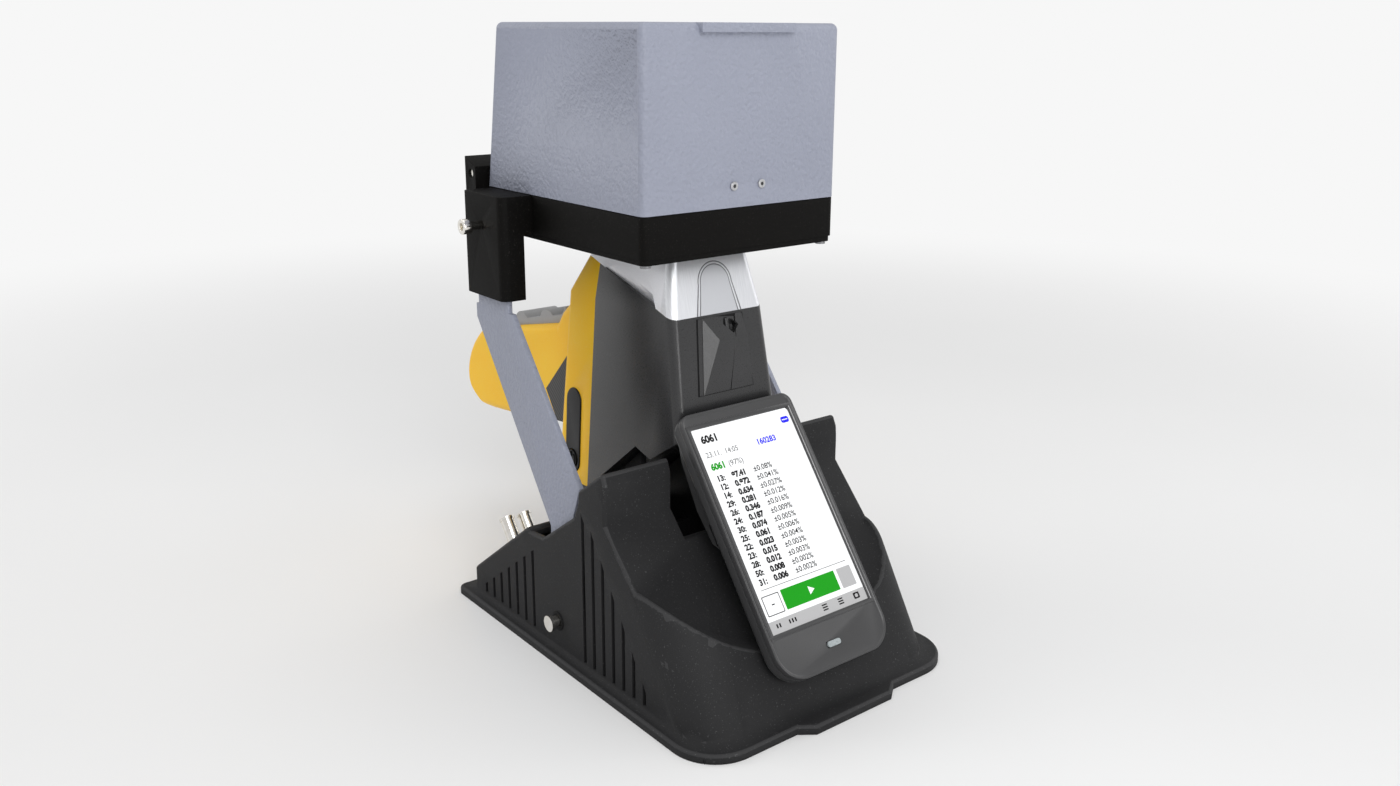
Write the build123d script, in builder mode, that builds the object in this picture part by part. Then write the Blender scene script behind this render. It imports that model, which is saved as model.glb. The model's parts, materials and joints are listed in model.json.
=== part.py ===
"""Handheld X-ray fluorescence analyzer in its bench stand.

Millimetres. X is the width, +Y points to the rear (the grip side), +Z is up.
The origin lies on the bench, under the middle of the stand's flange.
"""
from build123d import *
import os
from math import cos, hypot, radians, sin

os.makedirs("parts", exist_ok=True)

# ---------------------------------------------------------------- driving sizes
FIT = 0.05                    # radial running fit of a pin in its bore
GAP = 0.4                     # air between pieces that move past each other

# stand housing
FLANGE_W, FLANGE_L = 180.6, 248.6
FLANGE_LEDGE = 6.8            # flange beyond the side walls
FLANGE_T = 4.8
FLANGE_FRONT_R, FLANGE_REAR_R, FLANGE_EDGE_R = 26.0, 5.0, 1.6
TAB_X, TAB_W, TAB_TIP_W, TAB_OUT = 3.0, 70.0, 54.0, 6.0
HOUSING_HALF_W = FLANGE_W / 2 - FLANGE_LEDGE
HOUSING_FRONT, HOUSING_REAR = -118.5, 116.0
HOUSING_CORNERS = (24.0, 40.0, 6.0)   # front radius at the foot and far above, rear radius
HOUSING_FRONT_LEAN = 0.515    # mm to the rear per mm of height
WALL = 3.0
FLOOR_TOP = (-31.0, 94.0)     # (Y, Z) where the display recess starts
FLOOR_SLOPE = 1.07
CREST = (-28.0, 122.0)        # top of the two shoulders
CREST_FRONT_Z = 115.0
SHOULDER_REAR = (-6.5, 106.0)
NOTCH = ((-5.5, 99.0), (-1.4, 89.7), (31.3, 66.5), (46.4, 65.2))
DECK_FRONT = (47.3, 68.0)
DECK_REAR_Z = 17.0
SCOOP_Z, SCOOP_R = 31.0, 109.0
RIM_R = 2.0                   # rounding of the moulding's upper edges
DOCK_HALF_W = 41.0            # opening between the shoulders
DOCK_FRONT, DOCK_REAR, DOCK_STEP_Z, WELL_Z = -60.0, 60.0, 80.0, 50.0

# vents in the side walls
VENT_W = 2.8
VENT_FOOT_Z = 7.0
REAR_VENTS, REAR_VENT_Y, REAR_VENT_PITCH = 7, 42.6, 9.37
REAR_VENT_TOP, REAR_VENT_FALL = 55.7, 6.87
FRONT_VENTS, FRONT_VENT_Y, FRONT_VENT_PITCH = 7, -10.5, 9.1
FRONT_VENT_BEVEL = 5.0
FRONT_VENT_TOP, FRONT_VENT_KNEE, FRONT_VENT_RISE = 94.6, (-28.6, 74.1), 1.486

# bottom plate, feet and rear sockets
PLATE_T, PLATE_HALF_W, PLATE_L = 2.5, HOUSING_HALF_W + 1, 231.0
BOSS_X, BOSS_FRONT, BOSS_REAR = HOUSING_HALF_W - 7.5, -95.0, 104.0
BOSS_PLACES = tuple((side * BOSS_X, y) for y in (BOSS_FRONT, BOSS_REAR) for side in (-1, 1))
BOSS_R, BOSS_H, SCREW_R, SCREW_L = 5.0, 12.0, 1.5, 8.0
SCREW_HEAD_R, SCREW_HEAD_H = 2.8, 1.6
SOCKET_X, SOCKET_Y, SOCKET_R, SOCKET_BORE_R = (-66.0, -54.0), 91.5, 4.2, 3.2
SOCKET_UP, SOCKET_DOWN, SOCKET_LIP_R, NUT_R, NUT_H = 19.0, 8.0, 4.8, 5.6, 3.0
SOCKET_LIP_H, SOCKET_FLOOR = 1.6, 2.0
PIVOT_PIN_R, PIVOT_HEAD_R = 3.4, 4.6
PIVOT_HEAD_X, PIVOT_HEAD_T = HOUSING_HALF_W + 4.4, 2.0

# swinging arms with the sample tray
PIVOT_Y, PIVOT_Z = 16.7, 21.7
ARM_X, ARM_T = HOUSING_HALF_W - WALL - 1.2, 3.0      # outer face and thickness
NECK_FRONT, NECK_REAR, NECK_TOP = 67.5, 100.8, 245.0
ARM_SHOULDER_FRONT, ARM_SHOULDER_REAR = 63.5, 103.7
ARM_SHOULDER_Z = 187.5
ARM_KNEE = (-1.6, 104.5)
LEG_HALF_W = 11.7
BRACKET_OUT, BRACKET_IN = ARM_X + 4.7, ARM_X - 9.3
TRAY_W, TRAY_FRONT, TRAY_REAR = 2 * (BRACKET_IN - 5.5), -40.6, 113.0
TRAY_Z, TRAY_H, TRAY_WALL, TRAY_FLOOR = 228.6, 24.0, 8.0, 3.0
BRACKET_FRONT, BRACKET_REAR, BRACKET_Z = 63.0, 107.0, 195.0
UPPER_PIN_Y, UPPER_PIN_Z = 85.0, 235.5
WINDOW_Y, WINDOW_R, FILM_T = 12.0, 16.0, 0.3
BRACKET_EDGE_R, TRAY_EDGE_R, PLATE_STEP = 5.0, 4.0, 0.7
UPPER_PIN_R, UPPER_PIN_TIP, UPPER_HEAD_R = 2.5, BRACKET_IN + 2, 4.25
UPPER_HEAD_X, UPPER_HEAD_T, HEX_R = BRACKET_OUT + 7.5, 5.0, 2.3
TRAY_SCREW_IN = 5.0           # from the tray's sides to its screws
TRAY_SCREWS = tuple(
    (side * (TRAY_W / 2 - TRAY_SCREW_IN), y)
    for y in (TRAY_FRONT + TRAY_SCREW_IN, TRAY_REAR - TRAY_SCREW_IN)
    for side in (-1, 1)
)

# lid of the sample chamber
LID_TOP, LID_REAR_LEAN, LID_WALL = 344.0, 15.6, 2.0
HINGE_Y, HINGE_Z, HINGE_R = 118.5, 260.0, 2.5
POST_IN, POST_OUT, POST_DEPTH = TRAY_W / 2 - 12.5, TRAY_W / 2 + 7, 12.0
POST_FRONT_Z, POST_REAR_Z = 264.2, 269.5
LID_EDGE_R, LIP_OUT, LIP_H, LIP_HALF_W = 3.6, 3.0, 4.6, 30.5
KNUCKLE_R, KNUCKLE_L = 5.2, 16.0
STRIKER_X, STRIKER_PITCH, STRIKER_Z, STRIKER_SCREW_R = 1.8, 18.5, 264.0, 1.25
STRIKER_HEAD_R, STRIKER_HEAD_H, STRIKER_T = 2.3, 0.9, 6.0
STRIKER_HOLES = tuple((STRIKER_X + side * STRIKER_PITCH / 2, STRIKER_Z) for side in (-1, 1))

# analyzer, nose up
SEAM_Z, SEAM_SLOPE = 193.0, 0.281
BODY_LEVELS = (                # height, half width, front, rear, corner radius
    (50.0, 39.6, -45.1, 90.0, 5.0),
    (193.0, 32.1, -20.5, 80.0, 5.0),
    (226.0, 26.5, -12.0, 57.0, 5.0),
)
BAND_Y, BAND_LEAN, BAND_FOOT_Z, BAND_Z = 54.0, 0.035, 79.0, 85.0   # BAND_Y holds at BAND_Z
GRIP_HALF_W = 18.5
BODY_WALL, BODY_TOP, BODY_FRONT = 3.0, 226.0, -29.4
NOSE_FALL = (20.0, 57.0, 223.4)   # Y where the nose starts to fall, its rear end, height there
TAIL_LINE = ((-6.6, 113.2), (4.0, 116.0), (7.5, 117.0), (34.6, 94.5), (87.0, 54.0))
TAIL_FRONT_Z = 128.4
NOSE_FACET = ((45.7, 211.2), (30.8, 215.2), (-1.7, 203.9), (-6.1, 196.5))
FACET_X, NOSE_PLATE_W, NOSE_PLATE_Y, NOSE_PLATE_T = 28.4, 30.0, (-8.0, 24.0), 2.1
PANEL_TOP, PANEL_FOOT, PANEL_T = (15.4, 191.0), (18.6, 150.0), 1.0
BAR_X, BAR_Z, BAR_W, BAR_H, BAR_T = 5.0, 184.0, 6.0, 9.0, 1.6
CRADLE_X, CRADLE_T, CRADLE_FRONT, CRADLE_REAR = 24.0, 4.0, 16.0, 57.0
GRIP_TOP_Z, GRIP_FOOT_Z = 186.0, 102.0
GRIP_TOP = ((100.0, 182.0), (111.5, 172.0), (118.0, 163.0), (186.0, 148.0))
GRIP_END = ((205.0, 145.5), (222.0, 136.0), (235.0, 120.0), (239.2, 106.0), (236.0, 94.0), (226.0, 87.0))
GRIP_FOOT = ((205.0, 85.5), (182.0, 88.0), (117.7, 99.9))
GRIP_EDGE_R, CORE_HALF_W, CORE_PROUD = 6.0, 8.6, 0.7
WEB_POINTS = ((84.0, 166.4), (130.0, 118.3), (117.7, 99.9), (87.5, 103.0))
WEB_DEPTH, WEB_PROUD = 1.2, 0.2
BUMPS = (135.6, 167.4)
PAD_END, PAD_T, PAD_HALF_W, BUMP_R = (185.0, 148.22), 5.0, 13.0, 9.0
TRIGGER_HALF_W, TRIGGER_FRONT, TRIGGER_REAR, TRIGGER_FOOT = 7.0, 90.0, 106.0, 170.0
TRIGGER_RISE = ((90.0, 23.0), (92.5, 26.0), (97.0, 24.2), (102.0, 19.5), (106.0, 14.0))
TRIGGER_TRAVEL = 4.0
KEYPAD_Y, KEYPAD_Z, KEYPAD_W, KEYPAD_L = 70.0, 110.0, 15.0, 52.0
KEYPAD_PROUD, KEYPAD_DEPTH = 0.8, 0.8
BUTTON_R, BUTTON_DROP, BUTTON_TRAVEL, BUTTON_FOOT, BUTTON_PROUD = 5.2, 17.5, 0.8, 1.0, 1.4

# tilting display, in its own plane: u across, v up the face, w out of the glass
SCREEN_Y, SCREEN_Z, SCREEN_TILT = -74.2, 93.5, 37.0
CASE_W, CASE_TOP, CASE_BOTTOM, CASE_T = 77.0, 65.0, -81.5, 12.0
GLASS_INSET = 1.4
BEZEL_T, CASE_FOOT_R, CASE_TOP_R, CASE_BACK_R = 4.0, 16.0, 6.0, 3.5
HUMP_HALF_W = 36.0
HUMP = ((60.5, -8.0), (56.0, -11.5), (45.0, -16.0), (18.0, -19.4), (-1.0, -17.4), (-8.0, -11.0))
GLASS_W, GLASS_TOP, GLASS_FOOT, GLASS_R = 68.0, 57.0, -56.5, 3.0
LED_V, LED_W, LED_L = -70.3, 3.0, 9.0
TILT_PIN_V, TILT_PIN_W, TILT_PIN_R = 56.1, -8.7, 1.5
LEAF_HALF_W, LEAF_R, LEAF_NECK, TILT_PIN_L = 8.0, 3.0, 5.0, 32.0


def save(piece, name):
    """Label one finished piece and write it as its own STEP file."""
    piece.part.label = name
    export_step(piece.part, f"parts/{name}.step")


def side_plane(x=0.0):
    """The YZ plane at a given X: sketch coordinates are (Y, Z)."""
    return Plane.YZ.offset(x)


def mirrored(source):
    """The same piece on the other side of the stand."""
    with BuildPart() as twin:
        add(source.part)
        mirror(about=Plane.YZ, mode=Mode.REPLACE)
    return twin


# heights that several pieces share
tray_top = TRAY_Z + TRAY_H
frame_z = TRAY_Z + TRAY_FLOOR

# ---------------------------------------------------------------- stand housing
plate_top = PLATE_T
deck_slope = (DECK_FRONT[1] - DECK_REAR_Z) / (HOUSING_REAR - DECK_FRONT[0])


def socket_plane(x):
    """Plane on the sloping rear deck where a socket stands, facing away from it."""
    z = DECK_FRONT[1] - deck_slope * (SOCKET_Y - DECK_FRONT[0])
    return Plane(origin=(x, SOCKET_Y, z), x_dir=(1, 0, 0), z_dir=(0, deck_slope, 1))


floor_front_y = HOUSING_FRONT - FLANGE_FRONT_R
floor_front_z = FLOOR_TOP[1] + FLOOR_SLOPE * (floor_front_y - FLOOR_TOP[0])
above_all = CREST[1] + FLANGE_FRONT_R
scoop_lip = (HOUSING_FRONT + HOUSING_FRONT_LEAN * SCOOP_Z, SCOOP_Z)
SIDE_PROFILE = (
    (HOUSING_FRONT, 0),
    (HOUSING_FRONT, CREST_FRONT_Z),
    (FLOOR_TOP[0], CREST_FRONT_Z),
    CREST,
    SHOULDER_REAR,
    *NOTCH,
    DECK_FRONT,
    (HOUSING_REAR, DECK_REAR_Z),
    (HOUSING_REAR, 0),
)


def plan_outline(z, inset, front, front_r, rear_r):
    """Plan section of the housing at one height, with rounded corners."""
    with BuildSketch(Plane.XY.offset(z)) as plan:
        depth = HOUSING_REAR - inset - front
        with Locations((0, (HOUSING_REAR - inset + front) / 2)):
            Rectangle(2 * (HOUSING_HALF_W - inset), depth)
        fillet(plan.vertices().group_by(Axis.Y)[0], front_r)
        fillet(plan.vertices().group_by(Axis.Y)[-1], rear_r)
    return plan.sketch


def housing_form(inset):
    """Outer form of the stand at inset 0, or its hollow at a wall's inset."""
    top = CREST[1] + 20
    front_r, high_r, rear_r = (radius - inset for radius in HOUSING_CORNERS)
    front = HOUSING_FRONT + inset
    with BuildPart() as scoop:
        with BuildSketch(side_plane()):
            with BuildLine():
                Polyline(
                    (FLOOR_TOP[0], top),
                    (FLOOR_TOP[0], FLOOR_TOP[1]),
                    (floor_front_y, floor_front_z),
                    (floor_front_y, top),
                    close=True,
                )
            make_face()
            if inset:
                offset(amount=inset, kind=Kind.INTERSECTION)
        extrude(amount=HOUSING_HALF_W + 10, both=True)
        with Locations(Location((0, 0, SCOOP_Z + SCOOP_R), (90, 0, 0))):
            Cylinder(SCOOP_R + inset, 2 * FLANGE_L, mode=Mode.INTERSECT)
    with BuildPart() as form:
        add(plan_outline(0, inset, front, front_r, rear_r))
        add(plan_outline(top, inset, front + HOUSING_FRONT_LEAN * top, high_r, rear_r))
        loft()
        with BuildSketch(side_plane()):
            with BuildLine():
                Polyline(*SIDE_PROFILE, close=True)
            make_face()
            if inset:
                offset(amount=-inset, kind=Kind.INTERSECTION)
                with Locations((0, 0)):
                    Rectangle(2 * HOUSING_REAR - 2 * inset, 2 * inset)
        extrude(amount=HOUSING_HALF_W + 10, both=True, mode=Mode.INTERSECT)
        add(scoop.part, mode=Mode.SUBTRACT)
        if not inset:
            fillet(rim_edges(form), RIM_R)
    return form.part


def rim_edges(form):
    """Upper edges that the moulding rounds off; the corners of the notch stay sharp."""
    rounded = (DECK_FRONT, (HOUSING_REAR, DECK_REAR_Z), SHOULDER_REAR, CREST, scoop_lip)
    upper = form.edges().filter_by(lambda edge: edge.bounding_box().min.Z > FLANGE_T)
    return [
        edge
        for edge in upper
        if abs(edge.center().X) > DOCK_HALF_W
        or any(hypot(edge.center().Y - y, edge.center().Z - z) < 0.5 for y, z in rounded)
    ]


def flange_form():
    """Flange all round, with the pull tab at the front and a rounded upper edge."""
    with BuildPart() as form:
        with BuildSketch(Plane.XY) as flange:
            Rectangle(FLANGE_W, FLANGE_L)
            fillet(flange.vertices().group_by(Axis.Y)[0], FLANGE_FRONT_R)
            fillet(flange.vertices().group_by(Axis.Y)[-1], FLANGE_REAR_R)
            with BuildLine():
                Polyline(
                    (TAB_X - TAB_W / 2, -FLANGE_L / 2 + 1),
                    (TAB_X - TAB_W / 2, -FLANGE_L / 2),
                    (TAB_X - TAB_TIP_W / 2, -FLANGE_L / 2 - TAB_OUT),
                    (TAB_X + TAB_TIP_W / 2, -FLANGE_L / 2 - TAB_OUT),
                    (TAB_X + TAB_W / 2, -FLANGE_L / 2),
                    (TAB_X + TAB_W / 2, -FLANGE_L / 2 + 1),
                    close=True,
                )
            make_face()
        extrude(amount=FLANGE_T)
        fillet(form.faces().sort_by(Axis.Z)[-1].edges(), FLANGE_EDGE_R)
    return form.part


def front_vent_top(y):
    """Height of a front vent, which follows the edge of the display recess."""
    return min(FRONT_VENT_TOP, FRONT_VENT_KNEE[1] + FRONT_VENT_RISE * (y - FRONT_VENT_KNEE[0]))


with BuildPart() as base_housing:
    add(housing_form(0))
    add(flange_form())
    add(housing_form(WALL), mode=Mode.SUBTRACT)
    # well behind the shoulders, open upwards for the arms and the analyzer's tail
    with BuildSketch(side_plane()):
        with BuildLine():
            Polyline(
                (SHOULDER_REAR[0] + WALL, above_all),
                (SHOULDER_REAR[0] + WALL, WELL_Z),
                (DECK_FRONT[0] - WALL, WELL_Z),
                (DECK_FRONT[0] - WALL, above_all),
                close=True,
            )
        make_face()
    extrude(amount=HOUSING_HALF_W - WALL, both=True, mode=Mode.SUBTRACT)
    # dock opening between the shoulders, and through the front of the deck
    with BuildSketch(side_plane()):
        with BuildLine():
            Polyline(
                (DOCK_FRONT, DOCK_STEP_Z),
                (DOCK_FRONT, above_all),
                (DOCK_REAR, above_all),
                (DOCK_REAR, WELL_Z),
                (0, WELL_Z),
                (0, DOCK_STEP_Z),
                close=True,
            )
        make_face()
    extrude(amount=DOCK_HALF_W, both=True, mode=Mode.SUBTRACT)
    # vents: two groups of upright slots in each side wall
    with BuildSketch(side_plane()):
        for i in range(REAR_VENTS):
            y = REAR_VENT_Y + i * REAR_VENT_PITCH
            top = REAR_VENT_TOP - i * REAR_VENT_FALL
            with BuildLine():
                Polyline(
                    (y - VENT_W / 2, VENT_FOOT_Z),
                    (y - VENT_W / 2, top),
                    (y + VENT_W / 2, top - VENT_W * 0.7),
                    (y + VENT_W / 2, VENT_FOOT_Z),
                    close=True,
                )
            make_face()
        for i in range(FRONT_VENTS):
            y = FRONT_VENT_Y - i * FRONT_VENT_PITCH
            top = front_vent_top(y)
            with BuildLine():
                Polyline(
                    (y + VENT_W / 2, VENT_FOOT_Z),
                    (y + VENT_W / 2, top),
                    (y - VENT_W / 2, top - FRONT_VENT_BEVEL),
                    (y - VENT_W / 2, VENT_FOOT_Z),
                    close=True,
                )
            make_face()
    extrude(amount=HOUSING_HALF_W + 2, both=True, mode=Mode.SUBTRACT)
    # screw bosses, rebate for the bottom plate, pivot bores and socket bores
    with BuildSketch(Plane.XY.offset(plate_top)):
        with Locations(*BOSS_PLACES):
            Circle(BOSS_R)
    extrude(amount=BOSS_H)
    with BuildSketch(Plane.XY):
        Rectangle(2 * PLATE_HALF_W, PLATE_L)
    extrude(amount=PLATE_T, mode=Mode.SUBTRACT)
    with BuildSketch(Plane.XY.offset(plate_top)):
        with Locations(*BOSS_PLACES):
            Circle(SCREW_R)
    extrude(amount=SCREW_L, mode=Mode.SUBTRACT)
    with Locations(Location((0, PIVOT_Y, PIVOT_Z), (0, 90, 0))):
        Cylinder(PIVOT_PIN_R + FIT, 2 * HOUSING_HALF_W + 10, mode=Mode.SUBTRACT)
    for x in SOCKET_X:
        with BuildSketch(socket_plane(x)):
            Circle(SOCKET_R)
        extrude(amount=10, both=True, mode=Mode.SUBTRACT)
save(base_housing, "base_housing")

with BuildPart() as base_plate:
    with BuildSketch(Plane.XY):
        Rectangle(2 * PLATE_HALF_W - GAP, PLATE_L - GAP)
    extrude(amount=PLATE_T)
    with Locations(*[(x, y, 0) for x, y in BOSS_PLACES]):
        Cylinder(SCREW_R, 3 * PLATE_T, mode=Mode.SUBTRACT)
        Cylinder(SCREW_HEAD_R, 2 * SCREW_HEAD_H, mode=Mode.SUBTRACT)
save(base_plate, "base_plate")

with BuildPart() as base_screws:
    with BuildSketch(Plane.XY):
        with Locations(*BOSS_PLACES):
            Circle(SCREW_HEAD_R)
    extrude(amount=SCREW_HEAD_H)
    with BuildSketch(Plane.XY):
        with Locations(*BOSS_PLACES):
            Circle(SCREW_R)
    extrude(amount=PLATE_T + SCREW_L)
save(base_screws, "base_screws")

for number, x in enumerate(SOCKET_X, start=1):
    with BuildPart() as socket:
        with BuildSketch(socket_plane(x).offset(-SOCKET_DOWN)):
            Circle(SOCKET_R)
        extrude(amount=SOCKET_DOWN + SOCKET_UP)
        with BuildSketch(socket_plane(x).offset(SOCKET_UP)):
            Circle(SOCKET_LIP_R)
        extrude(amount=-SOCKET_LIP_H)
        with BuildSketch(socket_plane(x).offset(SOCKET_UP)):
            Circle(SOCKET_BORE_R)
        extrude(amount=-(SOCKET_UP - SOCKET_FLOOR), mode=Mode.SUBTRACT)
    save(socket, f"rear_socket_{number}")
    with BuildPart() as nut:
        with BuildSketch(socket_plane(x).offset(-WALL)):
            RegularPolygon(NUT_R, 6)
            Circle(SOCKET_R, mode=Mode.SUBTRACT)
        extrude(amount=-NUT_H)
    save(nut, f"socket_nut_{number}")

with BuildPart() as pivot_pin_left:
    with BuildSketch(side_plane(-PIVOT_HEAD_X - PIVOT_HEAD_T)):
        with Locations((PIVOT_Y, PIVOT_Z)):
            Circle(PIVOT_HEAD_R)
    extrude(amount=PIVOT_HEAD_T)
    with BuildSketch(side_plane(-PIVOT_HEAD_X)):
        with Locations((PIVOT_Y, PIVOT_Z)):
            Circle(PIVOT_PIN_R)
    extrude(amount=PIVOT_HEAD_X - (ARM_X - ARM_T) + 2)
    # retaining ring on the inner side of the arm
    with BuildSketch(side_plane(-(ARM_X - ARM_T) + GAP)):
        with Locations((PIVOT_Y, PIVOT_Z)):
            Circle(PIVOT_HEAD_R + 0.6)
    extrude(amount=1.2)
save(pivot_pin_left, "pivot_pin_left")
save(mirrored(pivot_pin_left), "pivot_pin_right")

# ---------------------------------------------------------------- arms and sample tray
leg_rear = PIVOT_Y + LEG_HALF_W
leg_front = PIVOT_Y - LEG_HALF_W
ARM_REAR_KNEE_Z = 73.8
with BuildPart() as arm_left:
    with BuildSketch(side_plane(-ARM_X)):
        with BuildLine():
            Polyline(
                (leg_front, PIVOT_Z),
                (leg_front, ARM_KNEE[1] - 18),
                ARM_KNEE,
                (ARM_SHOULDER_FRONT, ARM_SHOULDER_Z),
                (NECK_FRONT, ARM_SHOULDER_Z),
                (NECK_FRONT, NECK_TOP),
                (NECK_REAR, NECK_TOP),
                (NECK_REAR, ARM_SHOULDER_Z),
                (ARM_SHOULDER_REAR, ARM_SHOULDER_Z),
                (ARM_SHOULDER_REAR, ARM_SHOULDER_Z - 8),
                (leg_rear, ARM_REAR_KNEE_Z),
                (leg_rear, PIVOT_Z),
                close=True,
            )
        make_face()
        with Locations((PIVOT_Y, PIVOT_Z)):
            Circle(LEG_HALF_W)
            Circle(PIVOT_PIN_R + FIT, mode=Mode.SUBTRACT)
        with Locations((UPPER_PIN_Y, UPPER_PIN_Z)):
            Circle(UPPER_PIN_R, mode=Mode.SUBTRACT)
    extrude(amount=ARM_T)
save(arm_left, "arm_left")
save(mirrored(arm_left), "arm_right")

with BuildPart() as bracket_left:
    with BuildSketch(Plane.XY.offset(BRACKET_Z)) as plan:
        with Locations((-(BRACKET_OUT + BRACKET_IN) / 2, (BRACKET_FRONT + BRACKET_REAR) / 2)):
            Rectangle(BRACKET_OUT - BRACKET_IN, BRACKET_REAR - BRACKET_FRONT)
        fillet(plan.vertices().group_by(Axis.X)[0], BRACKET_EDGE_R)
    extrude(amount=tray_top - BRACKET_Z)
    with BuildSketch(Plane.XY.offset(frame_z)):
        with Locations((-(BRACKET_IN + 1 + TRAY_W / 2) / 2, (BRACKET_FRONT + BRACKET_REAR) / 2)):
            Rectangle(BRACKET_IN + 1 - TRAY_W / 2, BRACKET_REAR - BRACKET_FRONT)
    extrude(amount=tray_top - frame_z)
    # slot that takes the neck of the arm, and the bore of the cap screw
    with BuildSketch(Plane.XY.offset(BRACKET_Z)):
        with Locations((-ARM_X + ARM_T / 2, (NECK_FRONT + NECK_REAR) / 2)):
            Rectangle(ARM_T, NECK_REAR - NECK_FRONT)
    extrude(amount=NECK_TOP - BRACKET_Z, mode=Mode.SUBTRACT)
    with BuildSketch(side_plane(-BRACKET_OUT)):
        with Locations((UPPER_PIN_Y, UPPER_PIN_Z)):
            Circle(UPPER_PIN_R)
    extrude(amount=BRACKET_OUT - UPPER_PIN_TIP, mode=Mode.SUBTRACT)
save(bracket_left, "bracket_left")
save(mirrored(bracket_left), "bracket_right")

with BuildPart() as bracket_screw_left:
    with BuildSketch(side_plane(-UPPER_HEAD_X - UPPER_HEAD_T)):
        with Locations((UPPER_PIN_Y, UPPER_PIN_Z)):
            Circle(UPPER_HEAD_R)
            RegularPolygon(HEX_R, 6, mode=Mode.SUBTRACT)
    extrude(amount=UPPER_HEAD_T - 2)
    with BuildSketch(side_plane(-UPPER_HEAD_X - 2)):
        with Locations((UPPER_PIN_Y, UPPER_PIN_Z)):
            Circle(UPPER_HEAD_R)
    extrude(amount=2)
    with BuildSketch(side_plane(-UPPER_HEAD_X)):
        with Locations((UPPER_PIN_Y, UPPER_PIN_Z)):
            Circle(UPPER_PIN_R)
    extrude(amount=UPPER_HEAD_X - UPPER_PIN_TIP)
save(bracket_screw_left, "bracket_screw_left")
save(mirrored(bracket_screw_left), "bracket_screw_right")

tray_mid = (TRAY_FRONT + TRAY_REAR) / 2
tray_l = TRAY_REAR - TRAY_FRONT
with BuildPart() as sample_tray:
    with BuildSketch(Plane.XY.offset(frame_z)) as plan:
        with Locations((0, tray_mid)):
            Rectangle(TRAY_W, tray_l)
        fillet(plan.vertices().group_by(Axis.Y)[0], TRAY_EDGE_R)
        with Locations((0, tray_mid)):
            RectangleRounded(TRAY_W - 2 * TRAY_WALL, tray_l - 2 * TRAY_WALL, 3, mode=Mode.SUBTRACT)
    extrude(amount=tray_top - frame_z)
    with BuildSketch(Plane.XY.offset(frame_z)):
        with Locations(*TRAY_SCREWS):
            Circle(SCREW_R)
    extrude(amount=6, mode=Mode.SUBTRACT)
save(sample_tray, "sample_tray")

with BuildPart() as tray_plate:
    with BuildSketch(Plane.XY.offset(TRAY_Z)) as plan:
        with Locations((0, tray_mid)):
            Rectangle(TRAY_W - 2 * PLATE_STEP, tray_l - 2 * PLATE_STEP)
        fillet(plan.vertices().group_by(Axis.Y)[0], TRAY_EDGE_R)
        with Locations((0, WINDOW_Y)):
            Circle(WINDOW_R - 5, mode=Mode.SUBTRACT)
        with Locations(*TRAY_SCREWS):
            Circle(SCREW_R, mode=Mode.SUBTRACT)
    extrude(amount=TRAY_FLOOR)
save(tray_plate, "tray_plate")

with BuildPart() as tray_screws:
    with BuildSketch(Plane.XY.offset(TRAY_Z)):
        with Locations(*TRAY_SCREWS):
            Circle(SCREW_R)
    extrude(amount=TRAY_FLOOR + 5)
    with BuildSketch(Plane.XY.offset(TRAY_Z)):
        with Locations(*TRAY_SCREWS):
            Circle(SCREW_HEAD_R)
    extrude(amount=-SCREW_HEAD_H)
save(tray_screws, "tray_screws")

with BuildPart() as window_film:
    with BuildSketch(Plane.XY.offset(frame_z)):
        with Locations((0, WINDOW_Y)):
            Circle(WINDOW_R - 4)
    extrude(amount=FILM_T)
save(window_film, "window_film")

with BuildPart() as window_ring:
    with BuildSketch(Plane.XY.offset(frame_z)):
        with Locations((0, WINDOW_Y)):
            Circle(WINDOW_R + 4)
            Circle(WINDOW_R - 4, mode=Mode.SUBTRACT)
    extrude(amount=2)
    chamfer(window_ring.edges().group_by(Axis.Z)[-1], 0.6)
save(window_ring, "window_ring")

with BuildPart() as hinge_post_left:
    with BuildSketch(side_plane(-POST_OUT)):
        with BuildLine():
            Polyline(
                (TRAY_REAR, frame_z),
                (TRAY_REAR, POST_FRONT_Z),
                (TRAY_REAR + POST_DEPTH, POST_REAR_Z),
                (TRAY_REAR + POST_DEPTH, frame_z),
                close=True,
            )
        make_face()
        with Locations((HINGE_Y, HINGE_Z)):
            Circle(HINGE_R, mode=Mode.SUBTRACT)
    extrude(amount=POST_OUT - POST_IN)
save(hinge_post_left, "hinge_post_left")
save(mirrored(hinge_post_left), "hinge_post_right")

with BuildPart() as hinge_rod:
    with BuildSketch(side_plane()):
        with Locations((HINGE_Y, HINGE_Z)):
            Circle(HINGE_R)
    extrude(amount=POST_OUT - 1, both=True)
save(hinge_rod, "hinge_rod")

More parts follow.
